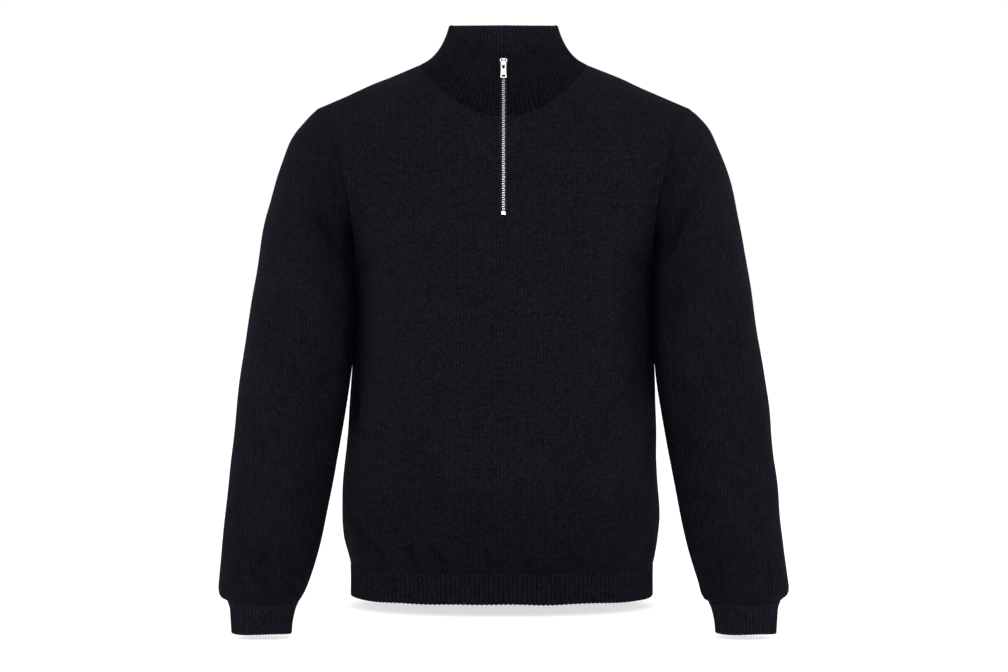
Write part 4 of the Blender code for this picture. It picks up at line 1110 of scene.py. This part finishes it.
def softened(outline, times):
    """The outline with its corners cut and cut again."""
    points = np.array(outline)
    for _ in range(times):
        after = np.roll(points, -1, axis=0)
        points = np.stack([points * 0.78 + after * 0.22, points * 0.22 + after * 0.78], 1)
        points = points.reshape(-1, 2)
    return points.tolist()


def metal_piece(name, node, parts, finish, body="garment"):
    """One piece from several meshes, each put in its place and with scratches of its own."""
    points, faces, own = [], [], []
    for mesh, place in parts:
        start = len(points)
        points += [tuple(place @ vertex.co) for vertex in mesh.vertices]
        own += [(*vertex.co.xy, vertex.co.z + 0.013 * start) for vertex in mesh.vertices]
        faces += [[start + at for at in face.vertices] for face in mesh.polygons]
    smooth_piece(name, points, faces, {"knit": own}, finish, 38, body, node)


# The teeth's middle line, from the slit's foot up to the collar's fold, at the tapes' depth.
zip_line = np.concatenate(
    [
        front_middle(np.linspace(SLIT_RISE, 1, 60)),
        collar_columns(np.zeros(1), LEFT, FRONT)[1:, 0],
    ]
)
zip_line[:, 0] = 0
rises = unit(np.gradient(zip_line, axis=0))
zip_line -= np.stack([0 * rises[:, 0], -rises[:, 2], rises[:, 1]], axis=1) * (TAPE_DEPTH + TAPE / 2)
zip_length = np.append(0, np.cumsum(np.linalg.norm(np.diff(zip_line, axis=0), axis=1)))
rises = unit(np.gradient(zip_line, axis=0))


def on_zip(distance):
    """The place on the zip at this length up it: x across, y up the zip and z out of it."""
    place = [np.interp(distance, zip_length, zip_line[:, axis]) for axis in range(3)]
    _, y, z = unit(np.array([np.interp(distance, zip_length, rises[:, a]) for a in range(3)]))
    axes = Matrix(((1, 0, 0), (0, y, -z), (0, z, y)))
    return Matrix.Translation(place) @ axes.to_4x4()


teeth_finish = metal_finish("silver_teeth", (0.39, 0.38, 0.375, 1), 0.42, 2600.0)
tooth_outline = [*TOOTH_OUTLINE, *((x, -height) for x, height in reversed(TOOTH_OUTLINE))]
tooth = cut_metal([softened(tooth_outline, 1)], TOOTH_DEPTH, 0.00022)
slider_middle = zip_length[-1] - SLIDER_TOP_BELOW_COLLAR - SLIDER_HALF
teeth = int((slider_middle + CHAIN_INTO_SLIDER - CHAIN_FOOT) / (TOOTH_PITCH / 2))
turned = Matrix.Rotation(math.pi, 4, "Z"), Matrix()
parts = [
    (tooth, on_zip(FIRST_TOOTH + at * TOOTH_PITCH / 2) @ turned[at % 2]) for at in range(teeth)
]
metal_piece("zip_teeth", "zip_chain", parts, teeth_finish)

# --- Zip stop ---
# A small block of polished metal ends the zip at its foot. It is pressed over both tapes' cords
# just below the first teeth, and a low crest runs down the middle of its face.

STOP_HALF = metres((2, 1.8), (2.4, 1.5), (2.5, -1.5), (2.1, -1.8))
CREST_HALF = metres((0.6, 1.4), (0.6, -1.4))
STOP_UP = 0.0041  # its middle above the slit's foot


def mirrored(half):
    """A closed outline from its right half, given from top to bottom."""
    return [*half, *((-x, y) for x, y in reversed(half))]


def raised(place, height):
    """The same place, moved out of the zip by this height."""
    return place @ Matrix.Translation((0, 0, height))


stop = cut_metal([mirrored(STOP_HALF)], 0.0018, 0.0003)
crest = cut_metal([softened(mirrored(CREST_HALF), 2)], 0.0008, 0.0002)
bright_finish = metal_finish("polished_silver", (0.88, 0.87, 0.85, 1), 0.28, 1500.0)
parts = [(stop, raised(on_zip(STOP_UP), 0.0015)), (crest, raised(on_zip(STOP_UP), 0.0022))]
metal_piece("zip_stop", "zip_bottom_stop", parts, bright_finish)

# --- Zip slider ---
# The slider is a die-cast body: two shouldered plates joined by a wedge that parts the teeth, rims
# that hold the tapes, and a bridge down its face, thick above and thinner where the tab hangs.

PULL_PIVOT = (0.0, -0.06991, -0.00613)
ZIP_RISE = (0.0, 0.3692, 0.9294)
PULL_AXIS_OUT = 0.00435
PULL_BELOW_MIDDLE = 0.0015
PLATE_IN, PLATE = 0.0015, 0.0011  # how far from the middle the plates begin, and their thickness
RIM, RIM_OUT, RIM_IN = 0.0008, 0.00125, 0.0001
FLOOR = 0.0003  # the thickness of a dark sheet that paints shade in a recess
PLATE_HALF = metres(
    (1.4, 5.3),
    (3, 5),
    (4.2, 4.2),
    (4.6, 3),
    (4.5, 1.6),
    (3.6, 0.2),
    (3.3, -1.8),
    (3.2, -4.6),
    (2.7, -5.4),
)
WEDGE_HALF = metres((1.2, 4.9), (1.9, 4.2), (1.6, 2.8), (0.5, 1.6))
HOLLOW = metres((1.9, 4.2), (3, 4.1), (3.1, 1), (2, 0.4))
BEHIND_TAB_HALF = metres((2.2, 0.6), (2.2, -5))
rise = Vector(ZIP_RISE)
facing = Vector((0, -rise.z, rise.y))
axes = Matrix((Vector((1, 0, 0)), rise, facing)).transposed().to_4x4()
pivot = Matrix.Translation(PULL_PIVOT) @ axes
slider_place = pivot @ Matrix.Translation((0, PULL_BELOW_MIDDLE, -PULL_AXIS_OUT))
plate = cut_metal([softened(mirrored(PLATE_HALF), 2)], PLATE, 0.0003)
rim_half = [(x - RIM_IN, y) for x, y in PLATE_HALF[2:8]]
rim = cut_metal([[*rim_half, *((x - RIM, y) for x, y in reversed(rim_half))]], RIM, 0.00012)
wedge = cut_metal([mirrored(WEDGE_HALF)], 2 * PLATE_IN + 0.0004, 0.0001)
other_side = Matrix.Rotation(math.pi, 4, "Y")
parts = [(wedge, slider_place)]
for out in (1, -1):
    parts.append((plate, raised(slider_place, out * (PLATE_IN + PLATE / 2))))
    parts += [(rim, raised(slider_place, out * RIM_OUT) @ turn) for turn in (Matrix(), other_side)]
# Painted shade: dark sheets in the hollows beside the bridge and behind the tab stand for the shade
# there.
painted_shade_finish = metal_finish("painted_shade_metal", (0.012, 0.012, 0.012, 1), 0.60, 1500.0)
hollow = cut_metal([HOLLOW], FLOOR, 0.00005)
behind_tab = cut_metal([mirrored(BEHIND_TAB_HALF)], FLOOR, 0.00005)
face = raised(slider_place, PLATE_IN + PLATE)
shade_sheets = [(hollow, face), (hollow, face @ other_side), (behind_tab, face)]

# The bridge, drawn from the side: across is out from the pivot, and up is up the zip.
bridge_root = -(PULL_AXIS_OUT - PLATE_IN - PLATE / 2)


def arc(radius, start, end, steps):
    turns = np.radians(np.linspace(start, end, steps))
    return [(radius * math.sin(turn), radius * math.cos(turn)) for turn in turns]


bridge_outline = [
    (bridge_root, 0.0057),
    (bridge_root + 0.0010, 0.0056),
    *arc(0.0022, 28, 110, 10),
    (0.0018, -0.0030),
    (0.0011, -0.0040),
    (bridge_root, -0.0045),
    (bridge_root, -0.00125),
    *arc(0.00125, 180, 0, 10),
    (bridge_root, 0.00125),
]
bridge = cut_metal([bridge_outline], 0.0024, 0.0004)
for vertex in bridge.vertices:
    # It is wider above, where it springs from the plate.
    vertex.co.z *= 1 + 0.62 * float(smooth((vertex.co.y - 0.0012) / 0.0044))
side_on = Matrix(((0, 0, 1, 0), (0, 1, 0, 0), (1, 0, 0, 0), (0, 0, 0, 1)))
bridge.flip_normals()
parts.append((bridge, pivot @ side_on))
metal_piece("zip_slider_body", "zip_slider", parts, bright_finish)
metal_piece("zip_slider_painted_shade", "zip_slider", shade_sheets, painted_shade_finish)

# --- Pull tab ---
# A flat tab of polished metal hangs from the bridge by a long eye, closed below by a dark web that
# paints shade. It flares at the foot, where a short slot is sunk in it, floored with a dark sheet
# of painted shade, and swings on the slider.

TAB_THICK = 0.0013
TAB_HALF = metres(
    (2, 0.65),
    (3.1, 0.5),
    (3.3, -1),
    (3.2, -7),
    (3.3, -12.5),
    (3.7, -18.2),
    (3.9, -19.9),
    (3.5, -21.3),
    (2.2, -21.5),
)
EYE_HALF, WEB_HALF = metres((1.8, -0.75), (1.7, -9)), metres((2.1, -5.8), (2.1, -9.4))
SLOT_HALF = metres((2.3, -17.2), (2.3, -20.3))
SLOT_FLOOR_HALF = metres((2.6, -16.8), (2.6, -20.7))
TAB_LIFT = math.radians(1)
outline, *holes = (softened(mirrored(half), 2) for half in (TAB_HALF, EYE_HALF, SLOT_HALF))
tab = cut_metal([outline, *(hole[::-1] for hole in holes)], TAB_THICK, 0.00030)
tab_place = pivot @ Matrix.Rotation(-TAB_LIFT, 4, "X")
# Painted shade: dark sheets under the slot and across the eye.
shade_floors = [
    (cut_metal([mirrored(half)], FLOOR, 0.00005), raised(tab_place, 0.0001))
    for half in (SLOT_FLOOR_HALF, WEB_HALF)
]
metal_piece("zip_pull_tab_painted_shade", "zip_pull", shade_floors, painted_shade_finish, "pull_tab")
metal_piece("zip_pull_tab", "zip_pull", [(tab, tab_place)], bright_finish, "pull_tab")

# --- Floor, light and camera ---
# A pale studio floor, faintly lit from within, in white surroundings. One broad soft lamp hangs
# high in front, a weak one above it lights the zip, and two stand at the sides.

FLOOR_Z, FLOOR_REACH = -0.712, 40.0
# The floor rises gently to just below the hem, which hangs higher than the cuffs.
MOUND, MOUND_HALF, MOUND_SLOPE = 0.036, (0.420, 0.247), (0.160, 0.045)
GLOW = {"Roughness": 1.0, "Emission Color": (1, 1, 1, 1), "Emission Strength": 0.66}
floor_finish, floor_shader, paint = finish_of("white_paper", GLOW)
mottle = paint.node("TexNoise", {}, {"Scale": 3.0, "Detail": 2.0}).between(0.3, 0.7)
mottle.blend((0.50, 0.50, 0.50, 1), (0.52, 0.52, 0.52, 1)).into(floor_shader, "Base Color")
steps = np.concatenate([[-FLOOR_REACH], np.linspace(-0.6, 0.6, 121), [FLOOR_REACH]])
deep, across = (
    smooth((half - np.abs(steps)) / slope) for half, slope in zip(MOUND_HALF, MOUND_SLOPE)
)
mound = FLOOR_Z + MOUND * np.outer(deep, across)
points = [(x, y, z) for y, row in zip(steps, mound) for x, z in zip(steps, row)]
wide = len(steps)
faces = [
    [at, at + 1, at + wide + 1, at + wide]
    for row in range(wide - 1)
    for at in range(row * wide, row * wide + wide - 1)
]
floor_mesh = bpy.data.meshes.new("studio_floor")
floor_mesh.from_pydata(points, [], faces)
floor_mesh.materials.append(floor_finish)
floor_mesh.shade_smooth()
put("studio_floor", floor_mesh)

world = bpy.data.worlds.new("studio")
world.use_nodes = True
world.node_tree.nodes["Background"].inputs["Color"].default_value = (1, 1, 1, 1)
world.node_tree.nodes["Background"].inputs["Strength"].default_value = 1.0
bpy.context.scene.world = world
bpy.context.scene.view_settings.view_transform = "Standard"

LAMPS = (
    # place, size, watts, and where it points
    ("left_side", (-2.4, -1.0, 0.1), 1.8, 30.0, (0, 0, -0.30)),
    ("right_side", (2.4, -0.9, 0.1), 1.8, 35.0, (0, 0, -0.30)),
    ("high_front", (0.0, -2.2, 0.7), 1.4, 28.0, (0, 0, -0.22)),
    ("above_zip", (0.0, -1.6, 1.9), 1.2, 3.5, (0, 0, -0.05)),
)
for name, place, size, watts, aim in LAMPS:
    lamp = bpy.data.lights.new(name, "AREA")
    lamp.energy, lamp.size = watts, size
    lit = put(name, lamp)
    lit.location = place
    lit.rotation_euler = (Vector(aim) - Vector(place)).to_track_quat("-Z", "Y").to_euler()

lens = bpy.data.cameras.new("camera")
lens.lens, lens.sensor_width = 74.29, 36.0
camera = bpy.context.scene.camera = put("camera", lens)
camera.location, camera.rotation_euler = (0.0006, -2.6, -0.339), (math.pi / 2, 0, 0)
